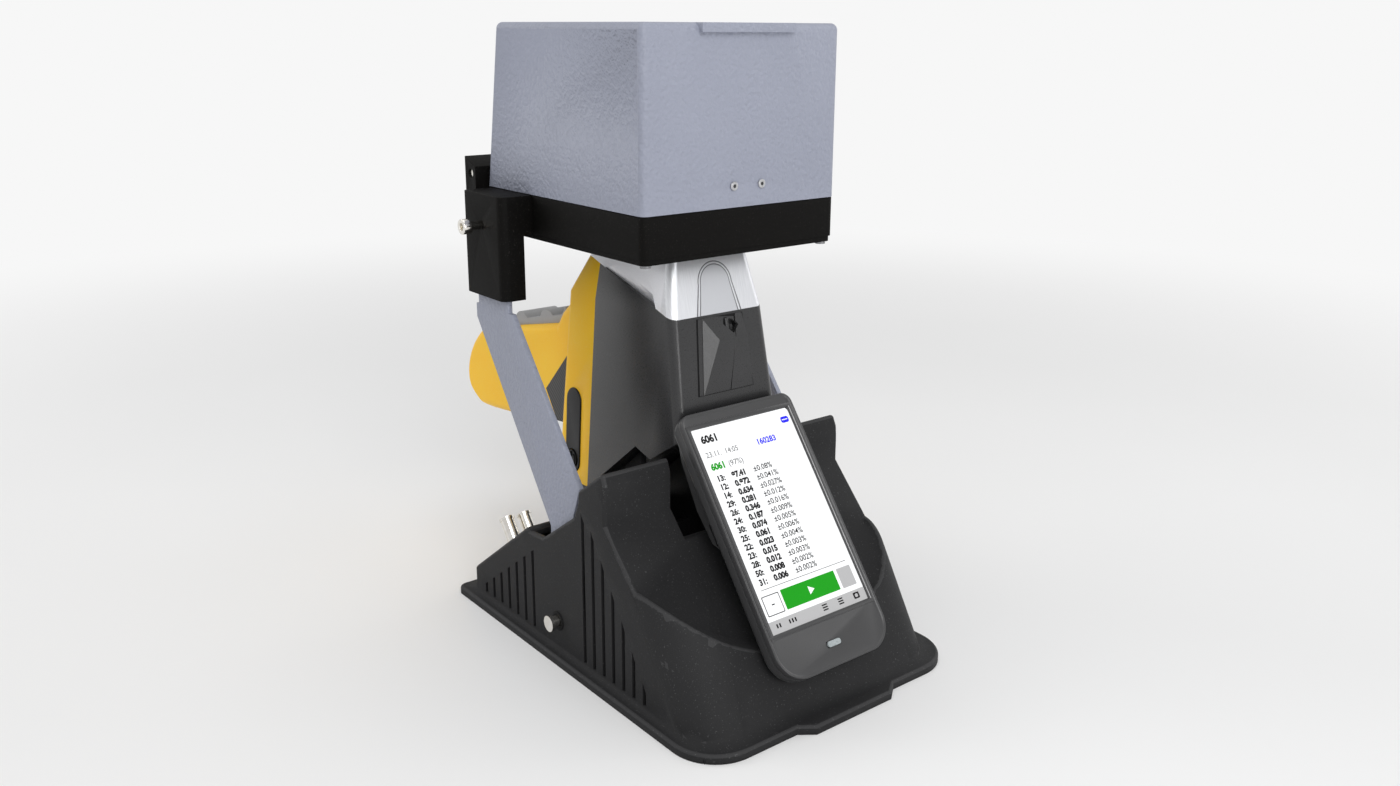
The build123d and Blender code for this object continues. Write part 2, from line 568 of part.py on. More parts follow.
# ---------------------------------------------------------------- chamber lid
lid_z = tray_top + GAP
lid_rear = TRAY_REAR - 0.6
lid_profile = (
    (TRAY_FRONT, lid_z),
    (TRAY_FRONT, LID_TOP),
    (lid_rear - LID_REAR_LEAN, LID_TOP),
    (lid_rear, lid_z),
)
with BuildPart() as chamber_lid:
    with BuildSketch(side_plane()):
        with BuildLine():
            Polyline(*lid_profile, close=True)
        make_face()
    extrude(amount=TRAY_W / 2, both=True)
    fillet(chamber_lid.edges().filter_by(Axis.X).group_by(Axis.Z)[-1], LID_EDGE_R)
    fillet(chamber_lid.faces().filter_by(Axis.X).edges().group_by(Axis.Z)[1:], LID_EDGE_R)
    # finger lip folded out over the middle of the front
    with BuildSketch(side_plane()):
        with BuildLine():
            Polyline(
                (TRAY_FRONT + LID_EDGE_R, LID_TOP),
                (TRAY_FRONT - LIP_OUT, LID_TOP),
                (TRAY_FRONT - LIP_OUT, LID_TOP - LIP_H),
                (TRAY_FRONT + 1, LID_TOP - LIP_H),
                (TRAY_FRONT + 1, LID_TOP - LID_EDGE_R),
                close=True,
            )
        make_face()
    extrude(amount=LIP_HALF_W, both=True)
    with BuildSketch(side_plane()):
        with BuildLine():
            Polyline(*lid_profile, close=True)
        make_face()
        offset(amount=-LID_WALL, kind=Kind.INTERSECTION)
        with BuildLine():
            Polyline(
                (TRAY_FRONT + LID_WALL, lid_z - 1),
                (TRAY_FRONT + LID_WALL, lid_z + LID_WALL + 1),
                (lid_rear - LID_WALL - 0.9, lid_z + LID_WALL + 1),
                (lid_rear - LID_WALL - 0.2, lid_z - 1),
                close=True,
            )
        make_face()
    extrude(amount=TRAY_W / 2 - LID_WALL, both=True, mode=Mode.SUBTRACT)
    with BuildSketch(Plane.XZ.offset(-TRAY_FRONT)):
        with Locations(*STRIKER_HOLES):
            Circle(STRIKER_SCREW_R)
    extrude(amount=-LID_WALL - 1, mode=Mode.SUBTRACT)
save(chamber_lid, "chamber_lid")

with BuildPart() as lid_striker:
    with BuildSketch(Plane.XZ.offset(-TRAY_FRONT - LID_WALL)):
        with Locations((STRIKER_X, STRIKER_Z)):
            RectangleRounded(STRIKER_PITCH + 12, 12, 2)
        with Locations(*STRIKER_HOLES):
            Circle(STRIKER_SCREW_R, mode=Mode.SUBTRACT)
    extrude(amount=-STRIKER_T)
save(lid_striker, "lid_striker")

with BuildPart() as striker_screws:
    with BuildSketch(Plane.XZ.offset(-TRAY_FRONT)):
        with Locations(*STRIKER_HOLES):
            Circle(STRIKER_HEAD_R)
    extrude(amount=STRIKER_HEAD_H)
    with BuildSketch(Plane.XZ.offset(-TRAY_FRONT)):
        with Locations(*STRIKER_HOLES):
            Circle(STRIKER_SCREW_R)
    extrude(amount=1 - LID_WALL - STRIKER_T)
save(striker_screws, "striker_screws")


def lid_rear_at(z):
    """Y of the lid's leaning rear face at a height."""
    return lid_rear - LID_REAR_LEAN * (z - lid_z) / (LID_TOP - lid_z)


with BuildPart() as lid_knuckle_left:
    with BuildSketch(side_plane(-POST_IN + GAP)):
        with Locations((HINGE_Y, HINGE_Z)):
            Circle(KNUCKLE_R)
        with BuildLine():
            Polyline(
                (lid_rear_at(HINGE_Z - KNUCKLE_R), HINGE_Z - KNUCKLE_R),
                (lid_rear_at(HINGE_Z + KNUCKLE_R), HINGE_Z + KNUCKLE_R),
                (HINGE_Y, HINGE_Z + KNUCKLE_R),
                (HINGE_Y, HINGE_Z - KNUCKLE_R),
                close=True,
            )
        make_face()
        with Locations((HINGE_Y, HINGE_Z)):
            Circle(HINGE_R + FIT, mode=Mode.SUBTRACT)
    extrude(amount=KNUCKLE_L)
save(lid_knuckle_left, "lid_knuckle_left")
save(mirrored(lid_knuckle_left), "lid_knuckle_right")

# ---------------------------------------------------------------- analyzer body
foot_z, foot_half_w, foot_front, foot_rear = BODY_LEVELS[0][:4]
seam_half_w, seam_front, seam_rear = BODY_LEVELS[1][1:4]
side_lean = (foot_half_w - seam_half_w) / (SEAM_Z - foot_z)
front_lean = (seam_front - foot_front) / (SEAM_Z - foot_z)
rear_lean = (foot_rear - seam_rear) / (SEAM_Z - foot_z)


def half_width_at(z):
    """Half width of the body below the nose seam."""
    return foot_half_w - side_lean * (z - foot_z)


def front_at(z):
    """Y of the body's front face above the display hinge."""
    return foot_front + front_lean * (z - foot_z)


def rear_at(z):
    """Y of the body's rear face, where the grip joins."""
    return foot_rear - rear_lean * (z - foot_z)


def seam_at(y):
    """Height of the joint between nose casting and body at a given Y."""
    return SEAM_Z + SEAM_SLOPE * (y - seam_front)


def band_at(z):
    """Y of the joint between body shell and rear band at a given height."""
    return BAND_Y - BAND_LEAN * (z - BAND_Z)


def side_region(points, half_w):
    """Prism whose section in the YZ plane is a polygon."""
    with BuildPart() as region:
        with BuildSketch(side_plane()):
            with BuildLine():
                Polyline(*points, close=True)
            make_face()
        extrude(amount=half_w, both=True)
    return region.part


body_side = (
    (BODY_FRONT, TAIL_FRONT_Z),
    *TAIL_LINE,
    (foot_rear + 5, TAIL_LINE[-1][1]),
    (foot_rear + 5, NOSE_FALL[2]),
    (NOSE_FALL[1], NOSE_FALL[2]),
    (NOSE_FALL[0], BODY_TOP),
    (BODY_FRONT, BODY_TOP),
)


def body_form(inset):
    """Outer form of the analyzer's body at inset 0, or its hollow at a wall's inset."""
    with BuildPart() as form:
        for z, half_w, front, rear, corner_r in BODY_LEVELS:
            with BuildSketch(Plane.XY.offset(z)):
                with Locations((0, (front + rear) / 2)):
                    depth = rear - front - 2 * inset
                    RectangleRounded(2 * (half_w - inset), depth, corner_r - inset)
        loft(ruled=True)
        with BuildSketch(side_plane()):
            with BuildLine():
                Polyline(*body_side, close=True)
            make_face()
            if inset:
                offset(amount=-inset, kind=Kind.INTERSECTION)
        extrude(amount=foot_half_w + 5, both=True, mode=Mode.INTERSECT)
    return form.part


body_outer = body_form(0)
body_inner = body_form(BODY_WALL)
nose_zone = side_region(
    ((-60, seam_at(-60)), (110, seam_at(110)), (110, BODY_TOP + 10), (-60, BODY_TOP + 10)), 60
)
band_zone = side_region(
    (
        (band_at(BAND_FOOT_Z), BAND_FOOT_Z),
        (band_at(SEAM_Z), seam_at(band_at(SEAM_Z))),
        (110, seam_at(110)),
        (110, BAND_FOOT_Z),
    ),
    60,
)
tail_zone = side_region(
    ((band_at(BAND_FOOT_Z), 0), (band_at(BAND_FOOT_Z), BAND_FOOT_Z), (110, BAND_FOOT_Z), (110, 0)), 60
)
keypad_plane = Plane(
    origin=(-half_width_at(KEYPAD_Z), KEYPAD_Y, KEYPAD_Z),
    x_dir=(0, -1, 0),
    z_dir=(-1, 0, side_lean),
)
front_plane = Plane(
    origin=(0, front_at(SEAM_Z), SEAM_Z), x_dir=(1, 0, 0), z_dir=(0, -1, front_lean)
)

with BuildPart() as nose_casting:
    add(body_outer)
    add(nose_zone, mode=Mode.INTERSECT)
    add(body_inner, mode=Mode.SUBTRACT)
    for side in (-1, 1):
        with BuildSketch(side_plane(side * FACET_X)):
            with BuildLine():
                Polyline(*NOSE_FACET, close=True)
            make_face()
        extrude(amount=side * 10, mode=Mode.SUBTRACT)
    with BuildSketch(Plane.XY.offset(BODY_TOP + 5)):
        with Locations((0, sum(NOSE_PLATE_Y) / 2)):
            Circle(NOSE_PLATE_W / 2 - 4)
    extrude(amount=-5 - 2 * BODY_WALL, mode=Mode.SUBTRACT)
save(nose_casting, "nose_casting")

with BuildPart() as nose_plate:
    with BuildSketch(Plane.XY.offset(BODY_TOP)):
        with Locations((0, sum(NOSE_PLATE_Y) / 2)):
            RectangleRounded(NOSE_PLATE_W, NOSE_PLATE_Y[1] - NOSE_PLATE_Y[0], 4)
            Circle(NOSE_PLATE_W / 2 - 7, mode=Mode.SUBTRACT)
    extrude(amount=NOSE_PLATE_T)
    add(body_outer, mode=Mode.SUBTRACT)
save(nose_plate, "nose_plate")

with BuildPart() as body_shell:
    add(body_outer)
    add(nose_zone, mode=Mode.SUBTRACT)
    add(band_zone, mode=Mode.SUBTRACT)
    add(tail_zone, mode=Mode.SUBTRACT)
    add(body_inner, mode=Mode.SUBTRACT)
save(body_shell, "body_shell")

with BuildPart() as tail_cap:
    add(body_outer)
    add(tail_zone, mode=Mode.INTERSECT)
    add(body_inner, mode=Mode.SUBTRACT)
save(tail_cap, "tail_cap")

with BuildPart() as rear_band:
    add(body_outer)
    add(nose_zone, mode=Mode.SUBTRACT)
    add(band_zone, mode=Mode.INTERSECT)
    add(body_inner, mode=Mode.SUBTRACT)
    with BuildSketch(keypad_plane):
        SlotOverall(KEYPAD_L, KEYPAD_W, rotation=90)
    extrude(amount=-KEYPAD_DEPTH, mode=Mode.SUBTRACT)
    with BuildSketch(keypad_plane):
        with Locations((0, -BUTTON_DROP)):
            Circle(BUTTON_R + GAP)
    extrude(amount=-BUTTON_FOOT - BUTTON_TRAVEL - GAP, mode=Mode.SUBTRACT)
save(rear_band, "rear_band")

with BuildPart() as keypad:
    with BuildSketch(keypad_plane.offset(-KEYPAD_DEPTH)):
        SlotOverall(KEYPAD_L, KEYPAD_W, rotation=90)
        with Locations((0, -BUTTON_DROP)):
            Circle(BUTTON_R + GAP, mode=Mode.SUBTRACT)
    extrude(amount=KEYPAD_DEPTH + KEYPAD_PROUD)
save(keypad, "keypad")

with BuildPart() as power_button:
    with BuildSketch(keypad_plane.offset(-BUTTON_FOOT)):
        with Locations((0, -BUTTON_DROP)):
            Circle(BUTTON_R)
    extrude(amount=BUTTON_FOOT + BUTTON_PROUD)
save(power_button, "power_button")

panel_up = hypot(1, front_lean)
with BuildPart() as front_panel:
    with BuildSketch(front_plane):
        with BuildLine():
            Polyline(
                (-PANEL_TOP[0], (PANEL_TOP[1] - SEAM_Z) * panel_up),
                (PANEL_TOP[0], (PANEL_TOP[1] - SEAM_Z) * panel_up),
                (PANEL_FOOT[0], (PANEL_FOOT[1] - SEAM_Z) * panel_up),
                (-PANEL_FOOT[0], (PANEL_FOOT[1] - SEAM_Z) * panel_up),
                close=True,
            )
        make_face()
        with Locations((BAR_X, (BAR_Z - SEAM_Z) * panel_up)):
            RectangleRounded(BAR_W, BAR_H, 1.5, mode=Mode.SUBTRACT)
    extrude(amount=PANEL_T)
save(front_panel, "front_panel")

with BuildPart() as strap_bar:
    with BuildSketch(front_plane):
        with Locations((BAR_X, (BAR_Z - SEAM_Z) * panel_up)):
            Rectangle(BAR_T, BAR_H)
    extrude(amount=PANEL_T)
save(strap_bar, "strap_bar")

tail_knee = TAIL_LINE[3]
tail_lean = (TAIL_LINE[3][1] - TAIL_LINE[4][1]) / (TAIL_LINE[4][0] - TAIL_LINE[3][0])
throat_lean = (TAIL_LINE[2][1] - TAIL_LINE[3][1]) / (TAIL_LINE[3][0] - TAIL_LINE[2][0])
with BuildPart() as cradle:
    for side in (-1, 1):
        with BuildSketch(side_plane(side * CRADLE_X - CRADLE_T / 2)):
            with BuildLine():
                Polyline(
                    (CRADLE_FRONT, plate_top),
                    (CRADLE_FRONT, tail_knee[1] + throat_lean * (tail_knee[0] - CRADLE_FRONT)),
                    tail_knee,
                    (CRADLE_REAR, tail_knee[1] - tail_lean * (CRADLE_REAR - tail_knee[0])),
                    (CRADLE_REAR, plate_top),
                    close=True,
                )
            make_face()
        extrude(amount=CRADLE_T)
    with BuildSketch(Plane.XY.offset(plate_top)):
        with Locations((0, tail_knee[0])):
            Rectangle(2 * CRADLE_X, CRADLE_T)
    extrude(amount=CRADLE_X * 2)
save(cradle, "cradle")

# ---------------------------------------------------------------- grip and trigger
trigger_block = side_region(
    (
        (TRIGGER_FRONT - GAP, TRIGGER_FOOT - TRIGGER_TRAVEL - GAP),
        (TRIGGER_REAR + GAP, TRIGGER_FOOT - TRIGGER_TRAVEL - GAP),
        (TRIGGER_REAR + GAP, SEAM_Z + 10),
        (TRIGGER_FRONT - GAP, SEAM_Z + 10),
    ),
    TRIGGER_HALF_W + GAP,
)


def grip_form(half_w, proud):
    """Slab with the grip's side outline, from the body's rear face to the grip's end."""
    with BuildPart() as form:
        with BuildSketch(side_plane()):
            with BuildLine():
                Polyline(
                    GRIP_FOOT[-1],
                    (rear_at(GRIP_FOOT_Z), GRIP_FOOT_Z),
                    (rear_at(GRIP_TOP_Z), GRIP_TOP_Z),
                    *GRIP_TOP,
                )
                Spline(
                    GRIP_TOP[-1],
                    *[(y + proud, z) for y, z in GRIP_END],
                    GRIP_FOOT[0],
                    tangents=((1, -0.2), (-1, 0.05)),
                )
                Polyline(*GRIP_FOOT)
            make_face()
        extrude(amount=half_w, both=True)
    return form


grip_slab = grip_form(GRIP_HALF_W, 0)
with BuildPart() as grip_rounded:
    add(grip_slab.part)
    outer = grip_rounded.faces().filter_by(Axis.X).edges()
    fillet(outer.filter_by_position(Axis.Y, GRIP_TOP[0][0] - 1, GRIP_END[-1][0] + 50), GRIP_EDGE_R)


def grip_shell(side):
    """The yellow shell on one side of the grip's core."""
    with BuildPart() as shell:
        add(grip_rounded.part)
        split(
            bisect_by=side_plane(side * CORE_HALF_W),
            keep=Keep.TOP if side > 0 else Keep.BOTTOM,
        )
        with BuildSketch(side_plane(side * (GRIP_HALF_W - WEB_DEPTH))):
            with BuildLine():
                Polyline(*WEB_POINTS, close=True)
            make_face()
        extrude(amount=side * 10, mode=Mode.SUBTRACT)
    return shell


save(grip_shell(-1), "grip_left")
save(grip_shell(1), "grip_right")

with BuildPart() as grip_core:
    add(grip_form(CORE_HALF_W, CORE_PROUD).part)
    add(trigger_block, mode=Mode.SUBTRACT)
save(grip_core, "grip_core")

with BuildPart() as grip_web_left:
    with BuildSketch(side_plane(-GRIP_HALF_W + WEB_DEPTH)):
        with BuildLine():
            Polyline(*WEB_POINTS, close=True)
        make_face()
    extrude(amount=-WEB_DEPTH - WEB_PROUD)
save(grip_web_left, "grip_web_left")
save(mirrored(grip_web_left), "grip_web_right")

pad_slope = (GRIP_TOP[2][1] - GRIP_TOP[3][1]) / (GRIP_TOP[3][0] - GRIP_TOP[2][0])
with BuildPart() as grip_pad:
    with BuildSketch(side_plane()):
        with BuildLine():
            Polyline(
                GRIP_TOP[1],
                GRIP_TOP[2],
                PAD_END,
                (PAD_END[0], PAD_END[1] + PAD_T - 1),
                (GRIP_TOP[2][0], GRIP_TOP[2][1] + PAD_T),
                (GRIP_TOP[1][0] + 2, GRIP_TOP[1][1] + 2),
                close=True,
            )
        make_face()
    extrude(amount=PAD_HALF_W, both=True)
    for y in BUMPS:
        z = GRIP_TOP[2][1] - pad_slope * (y - GRIP_TOP[2][0])
        with Locations(Location((0, y, z), (0, 90, 0))):
            Cylinder(BUMP_R, 2 * PAD_HALF_W)
    add(grip_rounded.part, mode=Mode.SUBTRACT)
    add(grip_form(CORE_HALF_W, CORE_PROUD).part, mode=Mode.SUBTRACT)
save(grip_pad, "grip_pad")

with BuildPart() as trigger:
    add(
        side_region(
            (
                (TRIGGER_FRONT, TRIGGER_FOOT),
                *[(y, TRIGGER_FOOT + rise) for y, rise in TRIGGER_RISE],
                (TRIGGER_REAR, TRIGGER_FOOT),
            ),
            TRIGGER_HALF_W,
        )
    )
    fillet(trigger.faces().filter_by(Axis.X).edges().group_by(Axis.Z)[2:], 1.5)
save(trigger, "trigger")

# ---------------------------------------------------------------- tilting display
tilt = radians(SCREEN_TILT)
screen_plane = Plane(
    origin=(0, SCREEN_Y, SCREEN_Z), x_dir=(1, 0, 0), z_dir=(0, -cos(tilt), sin(tilt))
)
case_side = Plane(
    origin=(0, SCREEN_Y, SCREEN_Z), x_dir=(0, sin(tilt), cos(tilt)), z_dir=(1, 0, 0)
)
out_of_screen = Axis((0, SCREEN_Y, SCREEN_Z), (0, -cos(tilt), sin(tilt)))
pin_y = SCREEN_Y + TILT_PIN_V * sin(tilt) - TILT_PIN_W * cos(tilt)
pin_z = SCREEN_Z + TILT_PIN_V * cos(tilt) + TILT_PIN_W * sin(tilt)


def case_outline(level):
    """Outline of the display case in the plane of the glass, at a depth."""
    with BuildSketch(screen_plane.offset(level)) as case:
        with Locations((0, (CASE_TOP + CASE_BOTTOM) / 2)):
            Rectangle(CASE_W, CASE_TOP - CASE_BOTTOM)
        fillet(case.vertices().group_by(Axis.Y)[0], CASE_FOOT_R)
        fillet(case.vertices().group_by(Axis.Y)[-1], CASE_TOP_R)
    return case.sketch


with BuildPart() as display_back:
    add(case_outline(-CASE_T))
    extrude(amount=CASE_T - BEZEL_T, dir=out_of_screen.direction)
    fillet(display_back.edges().group_by(out_of_screen)[0], CASE_BACK_R)
    with BuildSketch(case_side):
        with BuildLine():
            Polyline(
                (CASE_TOP, -BEZEL_T), *HUMP[:3], (HUMP[2][0], -30), (CASE_TOP, -30), close=True
            )
        make_face()
    extrude(amount=CASE_W, both=True, mode=Mode.SUBTRACT)
    with BuildSketch(case_side):
        with BuildLine():
            Polyline(*HUMP, (HUMP[-1][0], -BEZEL_T - 2), (HUMP[0][0], -BEZEL_T - 2), close=True)
        make_face()
    extrude(amount=HUMP_HALF_W, both=True)
    # slot for the fixed hinge leaf, and the bore of the pin
    with BuildSketch(case_side):
        with Locations((TILT_PIN_V + 2, TILT_PIN_W - 8)):
            Rectangle(2 * LEAF_R + 14, 16 + 2 * LEAF_R + 2 * GAP)
    extrude(amount=LEAF_HALF_W + GAP, both=True, mode=Mode.SUBTRACT)
    with BuildSketch(case_side):
        with Locations((TILT_PIN_V, TILT_PIN_W)):
            Circle(TILT_PIN_R)
    extrude(amount=TILT_PIN_L / 2, both=True, mode=Mode.SUBTRACT)
save(display_back, "display_back")

glass_mid = (GLASS_TOP + GLASS_FOOT) / 2
with BuildPart() as display_bezel:
    add(case_outline(-BEZEL_T))
    extrude(amount=BEZEL_T, dir=out_of_screen.direction)
    with BuildSketch(screen_plane.offset(-BEZEL_T)):
        with Locations((0, glass_mid)):
            RectangleRounded(GLASS_W, GLASS_TOP - GLASS_FOOT, GLASS_R)
    extrude(amount=BEZEL_T, mode=Mode.SUBTRACT)
    with BuildSketch(screen_plane.offset(-1)):
        with Locations((0, LED_V)):
            SlotOverall(LED_L, LED_W)
    extrude(amount=1, mode=Mode.SUBTRACT)
    fillet(display_bezel.faces().sort_by(out_of_screen)[-1].outer_wire().edges(), 1.2)
save(display_bezel, "display_bezel")

with BuildPart() as display_glass:
    with BuildSketch(screen_plane.offset(-BEZEL_T)):
        with Locations((0, glass_mid)):
            RectangleRounded(GLASS_W, GLASS_TOP - GLASS_FOOT, GLASS_R)
    extrude(amount=BEZEL_T - GLASS_INSET)
save(display_glass, "display_glass")

with BuildPart() as status_led:
    with BuildSketch(screen_plane.offset(-1)):
        with Locations((0, LED_V)):
            SlotOverall(LED_L, LED_W)
    extrude(amount=1)
save(status_led, "status_led")

with BuildPart() as tilt_leaf:
    with BuildSketch(side_plane()):
        with Locations((pin_y, pin_z)):
            Circle(LEAF_R)
        with BuildLine():
            Polyline(
                (pin_y, pin_z - LEAF_NECK / 2),
                (pin_y, pin_z + LEAF_NECK / 2),
                (BODY_FRONT, pin_z + LEAF_NECK / 2),
                (BODY_FRONT, pin_z - LEAF_NECK / 2),
                close=True,
            )
        make_face()
        with Locations((pin_y, pin_z)):
            Circle(TILT_PIN_R + FIT, mode=Mode.SUBTRACT)
    extrude(amount=LEAF_HALF_W, both=True)
save(tilt_leaf, "tilt_leaf")

with BuildPart() as tilt_pin:
    with BuildSketch(side_plane()):
        with Locations((pin_y, pin_z)):
            Circle(TILT_PIN_R)
    extrude(amount=TILT_PIN_L / 2, both=True)
save(tilt_pin, "tilt_pin")
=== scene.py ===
# %% [markdown]
# # A handheld X-ray fluorescence analyzer in its bench stand
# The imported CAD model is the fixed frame. Every piece below either carries a CAD
# solid over with a better finish, or stands for one with softer edges and more
# detail. Lengths are metres, X is the width, +Y the grip side and +Z up. Sizes in
# the code are written in millimetres and multiplied by `MM`.

# %% The frame
import json
from math import atan2, cos, pi, radians, sin

import bpy
import bmesh
from mathutils import Matrix, Vector


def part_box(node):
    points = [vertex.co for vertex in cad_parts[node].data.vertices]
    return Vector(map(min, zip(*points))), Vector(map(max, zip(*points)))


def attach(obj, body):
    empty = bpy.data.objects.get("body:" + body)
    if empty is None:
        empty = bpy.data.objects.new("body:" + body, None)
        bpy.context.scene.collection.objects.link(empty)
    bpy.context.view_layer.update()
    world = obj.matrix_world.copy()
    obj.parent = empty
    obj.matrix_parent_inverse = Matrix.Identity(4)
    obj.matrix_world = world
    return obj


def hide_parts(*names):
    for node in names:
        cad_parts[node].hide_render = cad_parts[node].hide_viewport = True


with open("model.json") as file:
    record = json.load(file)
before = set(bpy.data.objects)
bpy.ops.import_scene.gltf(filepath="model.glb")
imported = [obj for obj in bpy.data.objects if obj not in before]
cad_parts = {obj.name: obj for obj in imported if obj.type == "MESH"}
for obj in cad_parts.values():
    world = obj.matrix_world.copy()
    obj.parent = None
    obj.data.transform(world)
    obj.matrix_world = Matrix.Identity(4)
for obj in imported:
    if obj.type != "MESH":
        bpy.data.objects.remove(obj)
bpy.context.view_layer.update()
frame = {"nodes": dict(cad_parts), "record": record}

MM = 0.001
scene = bpy.context.scene

# %% [markdown]
# ## Camera
# A wide lens held close, a little above the instrument and off to its left. The
# three angles turn it, and the lens shift drops the frame slightly instead of
# tilting the uprights.

# %% Camera
YAW, PITCH, ROLL = radians(38.558), radians(15.296), radians(0.278)
ahead = Vector((sin(YAW) * cos(PITCH), cos(YAW) * cos(PITCH), -sin(PITCH)))
right = Vector((cos(YAW), -sin(YAW), 0))
upward = right.cross(ahead)
right, upward = (
    right * cos(ROLL) + upward * sin(ROLL),
    upward * cos(ROLL) - right * sin(ROLL),
)
turn = Matrix((right, upward, -ahead)).transposed().to_4x4()
lens = bpy.data.cameras.new("camera")
lens.sensor_width = 36.0
lens.lens = 31.03
lens.shift_y = -0.025
lens.clip_start, lens.clip_end = 0.02, 20
camera = bpy.data.objects.new("camera", lens)
camera.matrix_world = Matrix.Translation(Vector((-403.12, -510.27, 341.30)) * MM) @ turn
scene.collection.objects.link(camera)
scene.camera = camera
print("camera at", camera.location)

# %% [markdown]
# ## Floor, world and lamps
# The floor is pale and keeps the shadow. The world's light is plain white; where
# the camera, a glossy reflection or clear glass looks past the floor, Light Path
# gives it a slightly brighter white, so the background costs no extra light.
# Wide lamps give soft highlights: a key from the front left, a weaker one at the
# right, a low strip in front that draws bright lines down the upright edges, one
# behind on the left, and one above.

# %% Lamps
scene.view_settings.view_transform = "Standard"


def fresh():
    """Nothing selected, object mode: the state each operator call starts from."""
    if bpy.context.object and bpy.context.object.mode != "OBJECT":
        bpy.ops.object.mode_set(mode="OBJECT")
    bpy.ops.object.select_all(action="DESELECT")


def lamp(name, place, aim, size, power):
    """A square soft lamp that looks at a point."""
    data = bpy.data.lights.new(name, "AREA")
    data.size, data.energy = size, power
    obj = bpy.data.objects.new(name, data)
    obj.location = place
    obj.rotation_euler = (Vector(aim) - Vector(place)).to_track_quat("-Z", "Y").to_euler()
    scene.collection.objects.link(obj)
    return obj


lamp("key lamp", (-0.75, -1.55, 1.25), (0, 0, 0.15), 1.1, 18)
lamp("side lamp", (1.7, -0.5, 0.9), (0, 0, 0.15), 1.2, 6)
lamp("front strip", (0.15, -1.8, 0.4), (0, 0, 0.18), 0.5, 5)
lamp("back lamp", (-1.1, 1.3, 1.0), (0, 0, 0.15), 0.9, 7)
lamp("top lamp", (0.1, 0.1, 2.0), (0, 0, 0.1), 1.5, 9)
print(len(bpy.data.lights), "lamps")

# %% World and floor
SKY_LIGHT, BACKDROP, BACKDROP_IN_GLOSS, FLOOR_R = 0.42, 0.93, 0.6, 9.0
world = bpy.data.worlds.new("studio")
world.use_nodes = True
scene.world = world
sky = world.node_tree
shine = sky.nodes["Background"]
shine.inputs["Color"].default_value = (1, 1, 1, 1)
shine.inputs["Strength"].default_value = SKY_LIGHT
behind = sky.nodes.new("ShaderNodeBackground")
behind.inputs["Color"].default_value = (BACKDROP, BACKDROP, BACKDROP, 1)
behind.inputs["Strength"].default_value = 1.0
rays = sky.nodes.new("ShaderNodeLightPath")
seen = sky.nodes.new("ShaderNodeMath")
seen.operation = "MAXIMUM"
glint = sky.nodes.new("ShaderNodeMath")
glint.operation = "MAXIMUM"
sky.links.new(rays.outputs["Is Camera Ray"], seen.inputs[0])
sky.links.new(rays.outputs["Is Transmission Ray"], glint.inputs[0])
dimmed = sky.nodes.new("ShaderNodeMath")
dimmed.operation = "MULTIPLY"
dimmed.inputs[1].default_value = BACKDROP_IN_GLOSS
sky.links.new(rays.outputs["Is Glossy Ray"], dimmed.inputs[0])
sky.links.new(dimmed.outputs[0], glint.inputs[1])
sky.links.new(glint.outputs[0], seen.inputs[1])
mixed = sky.nodes.new("ShaderNodeMixShader")
sky.links.new(seen.outputs[0], mixed.inputs[0])
sky.links.new(shine.outputs[0], mixed.inputs[1])
sky.links.new(behind.outputs[0], mixed.inputs[2])
sky.links.new(mixed.outputs[0], sky.nodes["World Output"].inputs["Surface"])

fresh()
bpy.ops.mesh.primitive_circle_add(vertices=96, radius=FLOOR_R, fill_type="NGON")
floor = bpy.context.object
floor.name = "floor"
print("floor", tuple(floor.dimensions))

# %% [markdown]
# ## Shader maths as Python
# `Sock` wraps a node socket, so that a mask is written as an expression. Numbers
# go through Math nodes; colours go through Mix nodes, because a Math node would
# turn them grey.


# %% Sockets that add up
class Sock:
    """One output socket of a node tree, with arithmetic."""

    def __init__(self, tree, out):
        self.tree, self.out = tree, out

    def maths(self, operation, *others):
        return self.tree.node("ShaderNodeMath", {"operation": operation}, [self, *others])

    def __add__(self, other):
        return self.maths("ADD", other)

    def __sub__(self, other):
        return self.maths("SUBTRACT", other)

    def __mul__(self, other):
        return self.maths("MULTIPLY", other)

    def __truediv__(self, other):
        return self.maths("DIVIDE", other)

    def __rsub__(self, other):
        return self * -1 + other

    __radd__, __rmul__ = __add__, __mul__

    def absolute(self):
        return self.maths("ABSOLUTE")

    def most(self, other):
        return self.maths("MAXIMUM", other)

    def ramp(self, low, high):
        """0 below low, 1 above high, smooth between."""
        return self.tree.node(
            "ShaderNodeMapRange",
            {"interpolation_type": "SMOOTHSTEP"},
            {"Value": self, "From Min": low, "From Max": high},
        )

    def line(self, half_width, soft):
        """1 where the value is near zero, falling off at a line's edges."""
        return 1 - self.absolute().ramp(half_width, half_width + soft)


